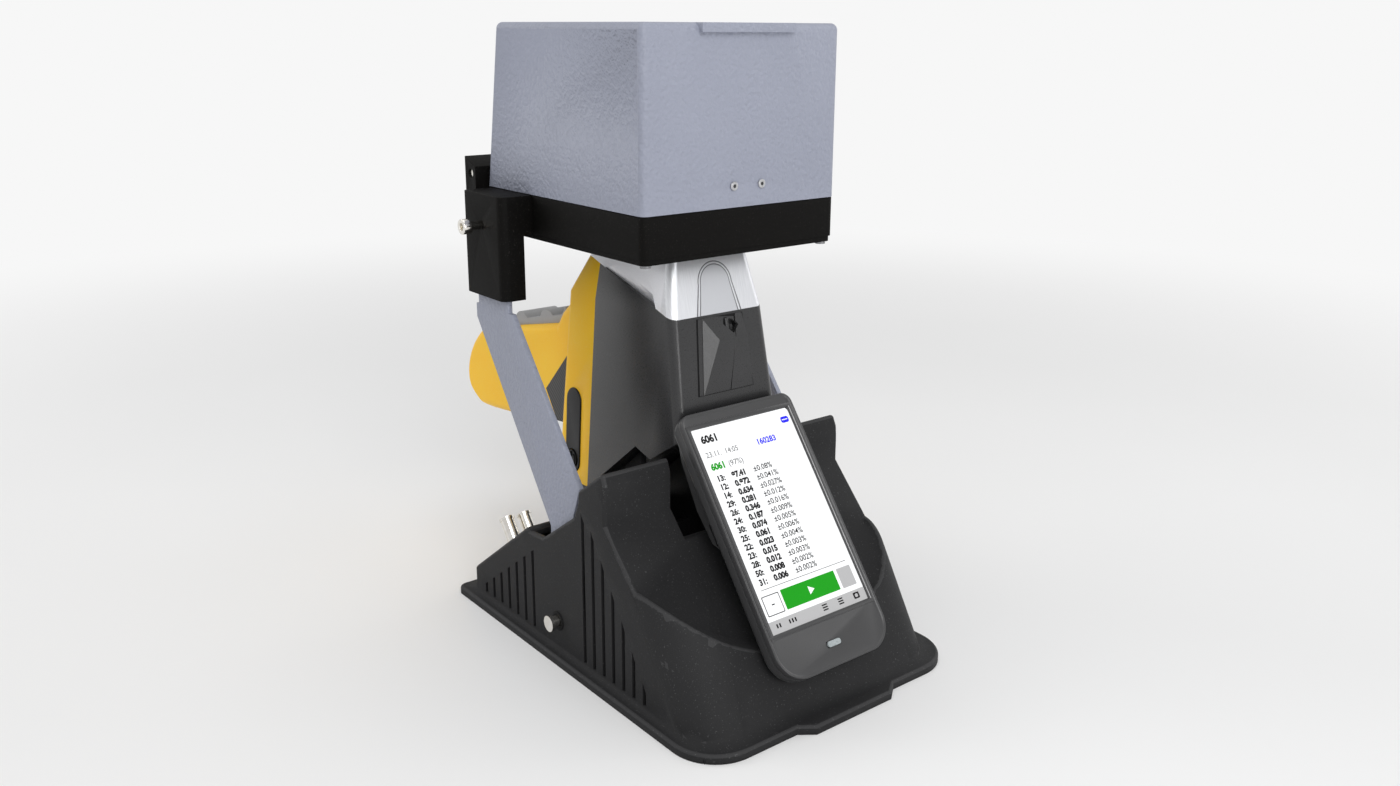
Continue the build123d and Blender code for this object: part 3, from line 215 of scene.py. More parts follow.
# %% A material under construction
class Finish:
    """A Principled shader and its node tree."""

    def __init__(self, name, colour, rough, metal=0.0, coat=0.0, specular=0.5):
        self.material = bpy.data.materials.new(name)
        self.material.use_nodes = True
        self.nodes = self.material.node_tree.nodes
        self.links = self.material.node_tree.links
        self.shader = self.nodes["Principled BSDF"]
        self.place = Sock(self, self.nodes.new("ShaderNodeTexCoord").outputs["Object"])
        for socket, value in (
            ("Base Color", (*colour, 1)),
            ("Roughness", rough),
            ("Metallic", metal),
            ("Coat Weight", coat),
            ("Coat Roughness", 0.2),
            ("Specular IOR Level", specular),
        ):
            self.shader.inputs[socket].default_value = value

    def node(self, kind, settings=(), sockets=(), out=0):
        """Adds one node: its settings first, then the values or links of its sockets."""
        node = self.nodes.new(kind)
        for key, value in dict(settings).items():
            setattr(node, key, value)
        pairs = sockets.items() if isinstance(sockets, dict) else enumerate(sockets)
        for key, value in pairs:
            if isinstance(value, Sock):
                self.links.new(value.out, node.inputs[key])
            else:
                node.inputs[key].default_value = value
        return Sock(self, node.outputs[out])

    def noise(self, scale, detail=2.0, place=None):
        return self.node(
            "ShaderNodeTexNoise", {}, {"Vector": place or self.place, "Scale": scale, "Detail": detail}
        )

    def stretched(self, x, y, z):
        """Object coordinates scaled per axis, for a grain that runs one way."""
        return self.node("ShaderNodeMapping", {}, {"Vector": self.place, "Scale": (x, y, z)})

    def along(self, axis):
        """One coordinate in millimetres."""
        return self.node("ShaderNodeSeparateXYZ", {}, [self.place], "XYZ".index(axis)) * 1000

    def blend(self, mask, low, high):
        """A colour between two, by a mask."""
        ends = [end if isinstance(end, Sock) else (*end, 1) for end in (low, high)]
        return self.node(
            "ShaderNodeMix", {"data_type": "RGBA"}, {0: mask, 6: ends[0], 7: ends[1]}, 2
        )

    def set(self, socket, value):
        self.links.new(value.out, self.shader.inputs[socket])
        return self

    def bump(self, height, depth_mm, strength=1.0):
        """Relief from a height mask; several calls stack up."""
        old = self.shader.inputs["Normal"]
        sockets = {"Strength": strength, "Distance": depth_mm * MM, "Height": height}
        if old.links:
            sockets["Normal"] = Sock(self, old.links[0].from_socket)
        return self.set("Normal", self.node("ShaderNodeBump", {}, sockets))


def linear(red, green, blue):
    """A colour from 0 to 255, as a screen shows it, to the shader's linear scale."""
    return tuple(
        c / 12.92 if c <= 0.04045 else ((c + 0.055) / 1.055) ** 2.4
        for c in (red / 255, green / 255, blue / 255)
    )


def grey(level):
    """A neutral tone with a trace of blue."""
    return linear(level, level, level + 1)


# %% [markdown]
# ## Floor paint
# Near the object the floor is plain pale paint that takes its shadow. Far out it
# would go grey, so for the camera and for reflections it turns into the same
# white as the background, and no horizon shows.


# %% Paint that fades into the background
def floor_paint(near=0.55, far=1.5):
    paint = Finish("floor paint", (0.88, 0.88, 0.88), 0.8, specular=0.1)
    tone = paint.noise(3.0, 2.0)
    paint.set("Base Color", paint.blend(tone, (0.86, 0.86, 0.86), (0.89, 0.89, 0.89)))
    x, y = (paint.along(axis) / 1000 for axis in "XY")
    away = (x * x + y * y).maths("SQRT").ramp(near, far)
    path = paint.node("ShaderNodeLightPath")
    camera_ray = Sock(paint, path.out.node.outputs["Is Camera Ray"])
    glossy_ray = Sock(paint, path.out.node.outputs["Is Glossy Ray"])
    glow = paint.node("ShaderNodeEmission", {}, {"Color": (BACKDROP, BACKDROP, BACKDROP, 1)})
    surface = Sock(paint, paint.shader.outputs[0])
    seen_as = paint.node(
        "ShaderNodeMixShader", {}, [away * camera_ray.most(glossy_ray), surface, glow]
    )
    paint.links.new(seen_as.out, paint.nodes["Material Output"].inputs["Surface"])
    return paint.material


floor.data.materials.append(floor_paint())
print(floor.name, "has", floor.data.materials[0].name)

# %% [markdown]
# ## Powder-coated sheet metal
# The lid and the arms are folded sheet under a thick blue-grey powder coat. It
# sets with a rippled skin like orange peel: shallow dimples a millimetre or two
# across, with a finer grit on top. Two noises of different scale feed the bump,
# and the larger one also moves the gloss a little.


# %% Powder coat
def powder_coat():
    coat = Finish("powder coat", linear(147, 151, 166), 0.42, specular=0.45)
    ripple = coat.noise(440, 1.5)
    grit = coat.noise(1300, 2.0)
    cloud = coat.noise(16, 3.0)
    coat.set("Base Color", coat.blend(cloud, linear(139, 143, 158), linear(150, 154, 169)))
    coat.set("Roughness", 0.36 + ripple * 0.22)
    coat.bump(ripple, 1.1, 0.8).bump(grit, 0.12, 0.5)
    return coat.material


# %% [markdown]
# ## Black coats and mouldings
# The tray and its brackets have a fine, nearly black texture coat with sparkling
# flecks. The stand is a charcoal moulding with a spark-eroded grain. A second,
# lighter version of the finish is kept for the rounded rims, where it paints a
# highlight.


# %% Texture coat
def texture_coat():
    coat = Finish("black texture coat", grey(11), 0.6, specular=0.07)
    grain = coat.noise(2100, 3.0)
    fleck = coat.noise(1500, 1.0).ramp(0.66, 0.78)
    coat.set("Base Color", coat.blend(fleck, linear(12, 11, 10), linear(50, 48, 45)))
    coat.set("Roughness", 0.42 + grain * 0.25)
    coat.bump(grain, 0.18, 0.6)
    return coat.material


# %% Moulded charcoal, plain and lighter for a painted rim highlight
def moulded_charcoal(name="charcoal moulding", lift=0):
    skin = Finish(name, grey(36 + lift), 0.6, specular=0.17)
    grain = skin.noise(1900, 3.0)
    fleck = skin.noise(1150, 2.0).ramp(0.63, 0.78)
    dust = skin.noise(900, 0.0).ramp(0.80, 0.83)
    cloud = skin.noise(20, 3.0)
    ground = skin.blend(cloud, grey(31 + lift), grey(42 + lift))
    speckled = skin.blend(fleck, ground, grey(70 + lift))
    skin.set("Base Color", skin.blend(dust * 0.2, speckled, grey(110)))
    skin.set("Roughness", 0.5 + grain * 0.22)
    skin.bump(grain, 0.17, 0.55)
    return skin.material


# %% [markdown]
# ## Instrument plastics and rubber
# The body is a satin dark grey moulding, the band and grip shells are yellow with
# a slight mottle, and the pads are soft rubber. Each has a fine grain in the bump
# and a slow cloud in the colour, so no surface is one flat tone.


# %% Satin plastic
def satin(name, level, rough, specular=0.5):
    skin = Finish(name, grey(level), rough, specular=specular)
    grain = skin.noise(2600, 2.0)
    cloud = skin.noise(30, 3.0)
    skin.set("Base Color", skin.blend(cloud, grey(level - 6), grey(level + 7)))
    skin.set("Roughness", (rough - 0.07) + grain * 0.16)
    skin.bump(grain, 0.05, 0.5)
    return skin.material


def yellow_plastic():
    skin = Finish("yellow plastic", linear(255, 198, 34), 0.44, specular=0.3)
    grain = skin.noise(1900, 2.0)
    cloud = skin.noise(24, 3.0)
    fleck = skin.noise(1200, 2.0).ramp(0.55, 0.75)
    ground = skin.blend(cloud, linear(255, 191, 24), linear(255, 209, 52))
    skin.set("Base Color", skin.blend(fleck * 0.3, ground, linear(252, 222, 120)))
    skin.set("Roughness", 0.36 + grain * 0.2)
    skin.bump(grain, 0.1, 0.5)
    return skin.material


def soft_rubber(name, level, rough, grain_mm):
    skin = Finish(name, grey(level), rough, specular=0.35)
    grain = skin.noise(1500, 2.0)
    cloud = skin.noise(40, 2.0)
    skin.set("Base Color", skin.blend(cloud, grey(level - 6), grey(level + 7)))
    skin.set("Roughness", (rough - 0.08) + grain * 0.16)
    skin.bump(grain, grain_mm, 0.5)
    return skin.material


# %% [markdown]
# ## Ribbed rubber
# The inlay at the root of the grip has fine parallel ribs that lean forward. A
# coordinate along the lean, folded by a sine, gives the ribs their height and a
# painted light and shade: lighter crests, darker grooves.


# %% Ribs
RIB_PITCH, RIB_LEAN = 1.5, radians(35)


def ribbed_rubber():
    skin = Finish("ribbed rubber", grey(66), 0.6, specular=0.35)
    across = skin.along("Y") * cos(RIB_LEAN) + skin.along("Z") * sin(RIB_LEAN)
    rib = (across * (2 * pi / RIB_PITCH)).maths("SINE") * 0.5 + 0.5
    grain = skin.noise(1500, 2.0)
    # painted light and shade: rib crests lighter, grooves darker
    skin.set("Base Color", skin.blend(rib, grey(56), grey(84)))
    skin.set("Roughness", 0.52 + grain * 0.16)
    skin.bump(rib, 0.35, 0.7).bump(grain, 0.06, 0.4)
    return skin.material


# %% [markdown]
# ## The cast nose
# The nose is a zinc casting. Its sides are blasted to a fine sparkle, its front
# is brushed downwards, and two thin lines run round an arch on the front. The
# arch is drawn as a distance: inside its straight legs the distance is sideways,
# and above them it is measured from the middle of a circle, so one formula gives
# both, and a narrow band of it is cut as a groove.

# %% Arch and brushing
ARCH_X, ARCH_FOOT_Z, ARCH_CENTRE_Z, ARCH_R, ARCH_LEG = 0.6, 192.5, 209.0, 11.4, 15.2
ARCH_LINE, ARCH_LINE_GAP, NOSE_FRONT_Y = 0.22, 1.5, -10.5


def cast_nose():
    metal = Finish("cast nose metal", (0.70, 0.71, 0.73), 0.34, metal=0.8)
    blasted = metal.noise(1700, 3.0)
    streak = metal.noise(1.0, 4.0, metal.stretched(2600, 300, 45))
    x, y, z = (metal.along(axis) for axis in "XYZ")
    front = (y * -1).ramp(-NOSE_FRONT_Y - 1.2, -NOSE_FRONT_Y + 0.6)
    widen = (ARCH_CENTRE_Z - z).most(0) * ((ARCH_LEG / ARCH_R - 1) / (ARCH_CENTRE_Z - ARCH_FOOT_Z))
    side = (x - ARCH_X) / (widen + 1)
    rise = (z - ARCH_CENTRE_Z).most(0)
    reach = (side * side + rise * rise).maths("SQRT") - ARCH_R
    lines = reach.line(ARCH_LINE, 0.18).most((reach + ARCH_LINE_GAP).line(ARCH_LINE * 0.7, 0.18))
    lines = lines * front
    inside = front * (1 - (reach + ARCH_LINE_GAP).ramp(-0.3, 0.1))
    bright = metal.blend(streak, (0.62, 0.63, 0.66), (0.86, 0.87, 0.90))
    dull = metal.blend(blasted, (0.80, 0.81, 0.85), (0.97, 0.97, 1.0))
    ground = metal.blend(front, dull, bright)
    shaded = metal.blend(inside * (0.35 + streak * 0.5), ground, (0.50, 0.51, 0.54))
    # painted shade: the two arch grooves are blended near-black, besides their bump
    metal.set("Base Color", metal.blend(lines * 0.85, shaded, (0.10, 0.10, 0.11)))
    metal.set("Roughness", 0.34 + blasted * 0.2 - front * 0.06)
    metal.bump(blasted * (1 - front * 0.75), 0.09, 0.6).bump(streak * front, 0.04, 0.5)
    metal.bump(1 - lines, 0.45, 0.9)
    return metal.material


# %% [markdown]
# ## Plated and blackened metal
# The pins, sockets and bracket screws are brightly plated with a slight golden
# wear, the small screws are blackened steel, and the window parts are blasted.


# %% Metals
def worked_metal(name, low, high, rough, spread, scale, metal=1.0):
    """A metal whose tone and gloss wander with one noise."""
    skin = Finish(name, low, rough, metal=metal)
    wear = skin.noise(scale, 3.0)
    skin.set("Base Color", skin.blend(wear, low, high))
    skin.set("Roughness", (rough - spread / 2) + wear * spread)
    skin.bump(wear, 0.02, 0.35)
    return skin.material


def amber_film():
    film = Finish("amber film", (0.45, 0.26, 0.06), 0.2)
    ripple = film.noise(160, 1.0)
    film.set("Roughness", 0.12 + ripple * 0.14)
    film.set("Base Color", film.blend(ripple, (0.38, 0.21, 0.04), (0.52, 0.32, 0.09)))
    return film.material


def light_pipe():
    lens_skin = Finish("light pipe", linear(150, 158, 160), 0.3, coat=0.4)
    haze = lens_skin.noise(900, 2.0)
    lens_skin.set("Base Color", lens_skin.blend(haze, linear(132, 140, 142), linear(176, 184, 186)))
    lens_skin.set("Roughness", 0.22 + haze * 0.16)
    return lens_skin.material


# %% [markdown]
# ## The lit screen
# The display's picture glows: its parts are thin pieces with an emission of their
# own colour, strong enough to read white as white and no stronger. A faint haze
# in the roughness stands for the cover glass over it.


# %% Screen inks
def screen_ink(name, colour, glow=0.62):
    ink = Finish(name, tuple(c * 0.5 for c in colour), 0.14, specular=0.3)
    haze = ink.noise(60, 1.0)
    ink.set("Roughness", 0.12 + haze * 0.06)
    ink.shader.inputs["Emission Color"].default_value = (*colour, 1)
    ink.shader.inputs["Emission Strength"].default_value = glow
    return ink.material


INKS = {
    "white": screen_ink("screen white", (0.94, 0.95, 0.96)),
    "black": screen_ink("screen black", (0.01, 0.01, 0.012), 0.2),
    "soft": screen_ink("screen grey text", grey(84), 0.4),
    "silver": screen_ink("screen silver", grey(178)),
    "green": screen_ink("screen green", linear(10, 152, 8)),
    "blue": screen_ink("screen blue", linear(25, 25, 235)),
}
print("inks", *INKS)


# %% Screws with painted shade in the driving recess
def small_screw(middle_x=1.8, half_pitch=9.25, middle_z=264.0, recess=1.0):
    """Bright screw heads; the recess in the middle of each is painted almost black, as its shade."""
    head = Finish("small screw", (0.55, 0.55, 0.56), 0.28, metal=1.0)
    wear = head.noise(900, 2.0)
    x, z = head.along("X") - middle_x, head.along("Z") - middle_z
    side = x.absolute() - half_pitch
    hole = 1 - (side * side + z * z).maths("SQRT").ramp(recess - 0.15, recess + 0.1)
    ground = head.blend(wear, (0.42, 0.42, 0.43), (0.66, 0.66, 0.67))
    # painted shade: the recess is blended almost to black
    head.set("Base Color", head.blend(hole * 0.92, ground, (0.02, 0.02, 0.02)))
    head.set("Roughness", 0.2 + wear * 0.2 + hole * 0.3)
    return head.material


SMALL_SCREW = small_screw()

# %% One finish for each material slot
FINISHES = {
    "powder_grey": powder_coat(),
    "tray_black": texture_coat(),
    "housing_black": moulded_charcoal(),
    "plate_steel": satin("painted plate", 26, 0.55, 0.2),
    "screw_steel": worked_metal("dark steel", (0.16, 0.16, 0.17), (0.3, 0.3, 0.31), 0.3, 0.2, 900, 0.95),
    "socket_chrome": worked_metal("bright plating", (0.70, 0.66, 0.58), (0.86, 0.85, 0.83), 0.14, 0.14, 260),
    "window_metal": worked_metal("blasted metal", (0.5, 0.5, 0.52), (0.68, 0.68, 0.7), 0.38, 0.2, 2200),
    "film": amber_film(),
    "nose_cast": cast_nose(),
    "body_dark": satin("body plastic", 42, 0.28, 0.45),
    "band_yellow": yellow_plastic(),
    "dark_trim": ribbed_rubber(),
    "grip_grey": soft_rubber("grip pad rubber", 158, 0.62, 0.14),
    "display_case": satin("display case plastic", 60, 0.3, 0.42),
    "display_glass": INKS["white"],
    "led": light_pipe(),
}
# The moulding made lighter: a painted highlight for the stand's rounded rims.
RIM_HIGHLIGHT = moulded_charcoal("charcoal moulding rim highlight", 17)
# Near-black satin: painted shade in the latch gap, the side port and the pivot bores; the power sign takes
# it too.
SHADE_AND_SIGN_BLACK = satin("painted shade and sign black", 14, 0.7, 0.2)


def key_rubber():
    """Dark rubber whose rounded rim is painted almost black, as the shade of the gap round the key."""
    skin = Finish("key rubber", grey(32), 0.5, specular=0.3)
    grain = skin.noise(1500, 2.0)
    facing = skin.node("ShaderNodeSeparateXYZ", {}, [skin.node("ShaderNodeNewGeometry", out=1)], 0)
    # painted shade: faces that do not face -X, the key's rounded sides, go near-black
    rim = (facing + 1).ramp(0.03, 0.12)
    top = skin.blend(grain, grey(28), grey(40))
    skin.set("Base Color", skin.blend(rim, top, grey(6)))
    skin.set("Roughness", 0.42 + grain * 0.16)
    skin.bump(grain, 0.06, 0.5)
    return skin.material


KEY_RUBBER = key_rubber()
print(len(FINISHES), "slot finishes")

# %% Every carried-over solid gets its slot's finish
slot_of = {row["node"]: row["material_slot"] for row in frame["record"]["subparts"]}
for name, solid in frame["nodes"].items():
    solid.data.materials.clear()
    solid.data.materials.append(FINISHES[slot_of[name]])
frame["nodes"]["power_button"].data.materials[0] = KEY_RUBBER
print(len(slot_of), "nodes dressed")

# %% [markdown]
# ## Softened edges
# Folded sheet, castings and mouldings never meet in a knife edge: the coat or the
# tool rounds it, and that thin round is what catches the light. A copy of the CAD
# solid is welded, its flat triangles are merged into whole faces, and a small
# bevel is applied to every edge sharper than a given angle. Where two pieces meet
# flush, the two rounds make the seam read as a fine dark groove.


# %% Helper that rounds a copy of a CAD solid
def body_of(node):
    """The moving body that a CAD node belongs to."""
    return next(b for b, nodes in frame["record"]["behaviour"]["bodies"].items() if node in nodes)


def seated(piece, like, finish=None, replaced=()):
    """Gives a new piece its finish, the body it moves with and the nodes it stands for."""
    if finish:
        piece.data.materials.clear()
        piece.data.materials.append(finish)
    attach(piece, body_of(like))
    if replaced:
        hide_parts(*replaced)
    print(piece.name, len(piece.data.polygons), "faces")
    return piece


def softened(node, radius_mm, angle=32, segments=3, finish=None, smooth=28):
    """A copy of a CAD node with rounded edges, which replaces the node."""
    source = frame["nodes"][node]
    piece = source.copy()
    piece.data = source.data.copy()
    piece.name = piece.data.name = f"{node}_soft"
    piece.parent = None
    for key in list(piece.keys()):
        del piece[key]
    scene.collection.objects.link(piece)
    fresh()
    bpy.context.view_layer.objects.active = piece
    piece.select_set(True)
    bpy.ops.object.mode_set(mode="EDIT")
    bpy.ops.mesh.select_all(action="SELECT")
    bpy.ops.mesh.remove_doubles(threshold=2e-6)
    if radius_mm:
        bpy.ops.mesh.dissolve_limited(angle_limit=radians(0.35))
    bpy.ops.object.mode_set(mode="OBJECT")
    piece.data.materials.clear()
    piece.data.materials.append(finish or FINISHES[slot_of[node]])
    if radius_mm:
        edge = piece.modifiers.new("edge", "BEVEL")
        edge.width, edge.segments = radius_mm * MM, segments
        edge.limit_method, edge.angle_limit = "ANGLE", radians(angle)
        bpy.ops.object.modifier_apply(modifier="edge")
    bpy.ops.object.shade_smooth_by_angle(angle=radians(smooth))
    return seated(piece, node, None, (node,))


# %% [markdown]
# ## Folded and milled parts
# The tray, its plate, the brackets, the arms and the lid get a round of half a
# millimetre to one and a half, as thick as the coat and the folds make it. The
# seams between nose, body and band get a third of a millimetre.

# %% Rounded copies
for node, radius_mm in {
    "sample_tray": 0.9,
    "tray_plate": 0.5,
    "bracket_left": 0.9,
    "bracket_right": 0.9,
    "arm_left": 1.2,
    "arm_right": 1.2,
    "hinge_post_left": 0.8,
    "hinge_post_right": 0.8,
    "lid_knuckle_left": 0.5,
    "lid_knuckle_right": 0.5,
    "chamber_lid": 1.0,
    "lid_striker": 0.5,
    "cradle": 0.8,
    "trigger": 0.6,
    "grip_pad": 0.8,
    "display_back": 0.6,
}.items():
    softened(node, radius_mm)
for node in ("bracket_screw_left", "bracket_screw_right"):
    softened(node, 0.3, finish=FINISHES["socket_chrome"])
softened("striker_screws", 0.2, finish=SMALL_SCREW)
softened("keypad", 0.7, finish=KEY_RUBBER)
for node, radius_mm in {"nose_casting": 0.3, "body_shell": 0.3, "rear_band": 0.3, "tail_cap": 0.5}.items():
    softened(node, radius_mm, angle=40, segments=2)

# %% [markdown]
# ## Painted highlight on the stand's rims
# The stand's upper edges are rounded to two millimetres in the moulding, and that
# narrow round is painted lighter as a highlight. A welded copy keeps the shape.
# A face belongs to the round when it is narrow and bulges outwards, and when the
# strips beside it go on turning by a clear angle; those faces take the lighter finish.

# %% Which faces belong to a round
NARROW, TURN, BEND = 1.4 * MM, radians(16), radians(3)


def width(face):
    """A strip's width: its area over its longest edge, doubled for a triangle."""
    share = face.calc_area() / max(line.calc_length() for line in face.edges)
    return share * (2 if len(face.edges) == 3 else 1)


def on_a_round(face):
    """Walks sideways over narrow neighbours and measures how far the surface turns."""
    seen, todo = {face}, [face]
    while todo and len(seen) < 30:
        here = todo.pop()
        if width(here) > NARROW:
            continue
        longest = max(line.calc_length() for line in here.edges)
        for line in here.edges:
            if line.calc_length() > 0.6 * longest:
                new = set(line.link_faces) - seen
                seen |= new
                todo += new
    reach = max(face.normal.angle(other.normal, 0) for other in seen)
    convex = any(line.calc_face_angle_signed(0) > BEND for line in face.edges)
    return convex and reach > TURN


# %% Rims
housing = softened("base_housing", 0, smooth=30)
housing.data.materials.append(RIM_HIGHLIGHT)
fresh()
bpy.context.view_layer.objects.active = housing
housing.select_set(True)
bpy.ops.object.mode_set(mode="EDIT")
bpy.ops.mesh.select_mode(type="FACE")
bpy.ops.mesh.select_all(action="DESELECT")
mesh = bmesh.from_edit_mesh(housing.data)
for face in mesh.faces:
    face.select_set(0.05 * MM < width(face) < NARROW and face.normal.z > 0.1 and on_a_round(face))
bmesh.update_edit_mesh(housing.data)
print(sum(face.select for face in mesh.faces), "rim highlight faces")
# The selected rim faces take the lighter finish, a painted highlight.
housing.active_material_index = 1
bpy.ops.object.material_slot_assign()
bpy.ops.object.mode_set(mode="OBJECT")

# %% [markdown]
# ## The faceted latch cover
# On the body's front sits a two-part cover with a strap recess. It is faceted: a
# bright triangular face on its left rises to a ridge, and an upper and a lower
# face fall away from it. Such a block is convex, so it is cut from a box with one
# bisect per facet, the way a block is planed. Its plan is drawn upright around a
# point on the nose seam and then leaned back with the body's front.


# %% Helpers for cut blocks
def block(name, low, high):
    """A cube stretched between two corners in millimetres, ready to be cut."""
    fresh()
    bpy.ops.mesh.primitive_cube_add(
        size=1,
        location=[(a + b) / 2 * MM for a, b in zip(low, high)],
        scale=[(b - a) * MM for a, b in zip(low, high)],
    )
    bpy.ops.object.transform_apply(location=True, rotation=True, scale=True)
    piece = bpy.context.object
    piece.name = piece.data.name = name
    return piece


def planed(piece, *cuts):
    """Cuts a block by planes, each given by a point and the direction cut away."""
    bpy.ops.object.mode_set(mode="EDIT")
    for point, away in cuts:
        bpy.ops.mesh.select_all(action="SELECT")
        bpy.ops.mesh.bisect(
            plane_co=Vector(point) * MM, plane_no=Vector(away), use_fill=True, clear_outer=True
        )
    bpy.ops.object.mode_set(mode="OBJECT")
    return piece


def facet(a, b, c):
    """A cut through three points that takes away the front, which is -Y."""
    away = (Vector(b) - Vector(a)).cross(Vector(c) - Vector(a)).normalized()
    return a, (-away if away.y > 0 else away)


def rounded(piece, radius_mm, segments=2, angle=25, smooth=30):
    """An applied bevel and smooth shading."""
    fresh()
    piece.select_set(True)
    bpy.context.view_layer.objects.active = piece
    edge = piece.modifiers.new("edge", "BEVEL")
    edge.width, edge.segments = radius_mm * MM, segments
    edge.limit_method, edge.angle_limit = "ANGLE", radians(angle)
    bpy.ops.object.modifier_apply(modifier="edge")
    bpy.ops.object.shade_smooth_by_angle(angle=radians(smooth))
    return piece


def carve(piece, cutter):
    """Takes a cutter's shape out of a piece and removes the cutter."""
    fresh()
    piece.select_set(True)
    bpy.context.view_layer.objects.active = piece
    cut = piece.modifiers.new("cut", "BOOLEAN")
    cut.operation, cut.object, cut.solver = "DIFFERENCE", cutter, "EXACT"
    bpy.ops.object.modifier_apply(modifier="cut")
    bpy.data.objects.remove(cutter)
    return piece


def moved(piece, place, turn=(0, 0, 0)):
    """Moves and turns a finished mesh to its place, and applies that."""
    fresh()
    piece.location, piece.rotation_euler = Vector(place) * MM, turn
    piece.select_set(True)
    bpy.context.view_layer.objects.active = piece
    bpy.ops.object.transform_apply(location=True, rotation=True, scale=True)
    return piece


# %% Plan of the cover
# x to the right, z up from the nose seam, height out of the body, in millimetres
COVER_SEAT, COVER_LEAN = (0, -20.55, 193.0), -atan2(0.172, 1)
COVER_TOP, COVER_FOOT, COVER_SHUT = -1.4, -42.4, 0.28
COVER_LEFT, COVER_RIGHT = (-15.2, -19.0), (15.8, 19.0)    # at the top and at the foot
RIDGE = (-3.6, -14.1, 3.4)
LIP_TOP, LIP_FOOT, LIP_H = (-12.2, -3.4), (-15.9, -39.6), 0.6
SPLIT = ((8.5, -12.0), (1.9, -47.4))
SPLIT_SHUT, SEAT_H, SEAT_RIM, COVER_EDGE_R = 0.22, 0.3, 0.3, 0.18
BLANK_HALF_W, BLANK_H = 20, 4    # the uncut block
# each facet lies on three points (x, z, height)
LEFT_FACETS = (
    (RIDGE, (8, -12.5, 3.4), (-17, -42.4, 0.75)),
    (RIDGE, (8, -15.2, 3.3), (-12.2, -1.4, 0.6)),
    (RIDGE, (*LIP_TOP, LIP_H), (*LIP_FOOT, LIP_H)),
)
RIGHT_FACETS = (
    ((8, -13.5, 2.7), (1.9, -42.4, 0.65), (19, -42.4, 0.45)),
    ((8, -13.5, 2.7), (18, -15.2, 2.3), (10, -1.4, 0.6)),
)
POCKET = ((-0.4, -9.6), (0.1, -2.4), (6.7, -2.6), (9.3, -9.8), (6.5, -11.2))
POCKET_LOW, POCKET_HIGH = (-3, -6, -14), (12, -0.12, 0)
BAR_LOW, BAR_HIGH, BAR_R = (2.6, -1.9, -10.4), (4.9, 0, -2.7), 0.8
print("cover", COVER_TOP - COVER_FOOT, "mm long")


def side_cut(start, end, left, shift=0.0):
    """A cut square to the cover along a line in its plan, moved inwards by shift."""
    run = Vector((end[0] - start[0], 0, end[1] - start[1]))
    away = Vector((run.z, 0, -run.x)).normalized()
    if (away.x > 0) == left:
        away = -away
    return Vector((start[0], 0, start[1])) - away * shift, away


def facets(planes):
    """The cuts of several facets; a plan point's height is turned towards -Y."""
    return [facet(*((x, -height, z) for x, z, height in points)) for points in planes]


def blank(name, height=BLANK_H, foot=COVER_FOOT):
    """The uncut block of one piece of the cover."""
    return block(name, (-BLANK_HALF_W, -height, foot), (BLANK_HALF_W, 0, COVER_TOP))


def outline(shift):
    """The cover's slanting left and right sides."""
    return (
        side_cut((COVER_LEFT[0], COVER_TOP), (COVER_LEFT[1], COVER_FOOT), True, shift),
        side_cut((COVER_RIGHT[0], COVER_TOP), (COVER_RIGHT[1], COVER_FOOT), False, shift),
    )


# %% Two flaps, the lip on their left, and the seat under them whose near-black paints the shade in the gap round them
left_flap = planed(
    blank("latch_cover_left"),
    *outline(COVER_SHUT),
    *facets(LEFT_FACETS),
    side_cut(LIP_TOP, LIP_FOOT, True),
    side_cut(*SPLIT, False, SPLIT_SHUT),
)
right_flap = planed(
    blank("latch_cover_right"),
    *outline(COVER_SHUT),
    *facets(RIGHT_FACETS),
    side_cut(*SPLIT, True, SPLIT_SHUT),
)
lip = planed(
    blank("latch_lip", LIP_H),
    outline(COVER_SHUT)[0],
    side_cut(LIP_TOP, LIP_FOOT, False, 0.1),
)
seat = planed(blank("latch_gap_shade", SEAT_H, COVER_FOOT - SEAT_RIM), *outline(-SEAT_RIM))
cover = [left_flap, right_flap, lip, seat]
for piece in cover:
    cutter = block("pocket", POCKET_LOW, POCKET_HIGH)
    for start, end in zip(POCKET, POCKET[1:] + POCKET[:1]):
        run = Vector((end[0] - start[0], 0, end[1] - start[1]))
        planed(cutter, ((start[0], 0, start[1]), (-run.z, 0, run.x)))
    carve(piece, cutter)
    rounded(piece, COVER_EDGE_R, 2, angle=8, smooth=5)
bar = rounded(block("strap_bar_round", BAR_LOW, BAR_HIGH), BAR_R, 3)
for piece in cover:
    seated(moved(piece, COVER_SEAT, (COVER_LEAN, 0, 0)), "front_panel", FINISHES["body_dark"])
seated(moved(bar, COVER_SEAT, (COVER_LEAN, 0, 0)), "strap_bar", FINISHES["body_dark"], ("strap_bar",))
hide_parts("front_panel")
# The seat is near-black: it paints the shade in the thin gap round the flaps.
seat.data.materials[0] = SHADE_AND_SIGN_BLACK

# %% [markdown]
# ## Display rim and glass frame
# The display's front is a shallow dish: a rounded lip runs round the case, and the
# glass sits a step lower behind a slanting frame, whose right wall is painted
# lighter as a highlight. The lip is an inset of the bezel's front face that sinks a
# little. The frame is a block with a tapered window cut out of it.

# %% Screen plane
# u to the right, v up the face and w out of the glass, all in millimetres
SCREEN_SEAT, SCREEN_LEAN = Vector((0, -74.2, 93.5)), radians(37)
SCREEN_TURN = (pi / 2 - SCREEN_LEAN, 0, 0)
GLASS_W = -1.4
FRAME_OUT, FRAME_IN = (36.8, 58.9, -58.4), (33.6, 56.2, -55.7)   # half width, top, foot
FRAME_FOOT_W, FRAME_TOP_W, FRAME_FLARE = -1.42, -0.3, (1.083, 1.025, 1)

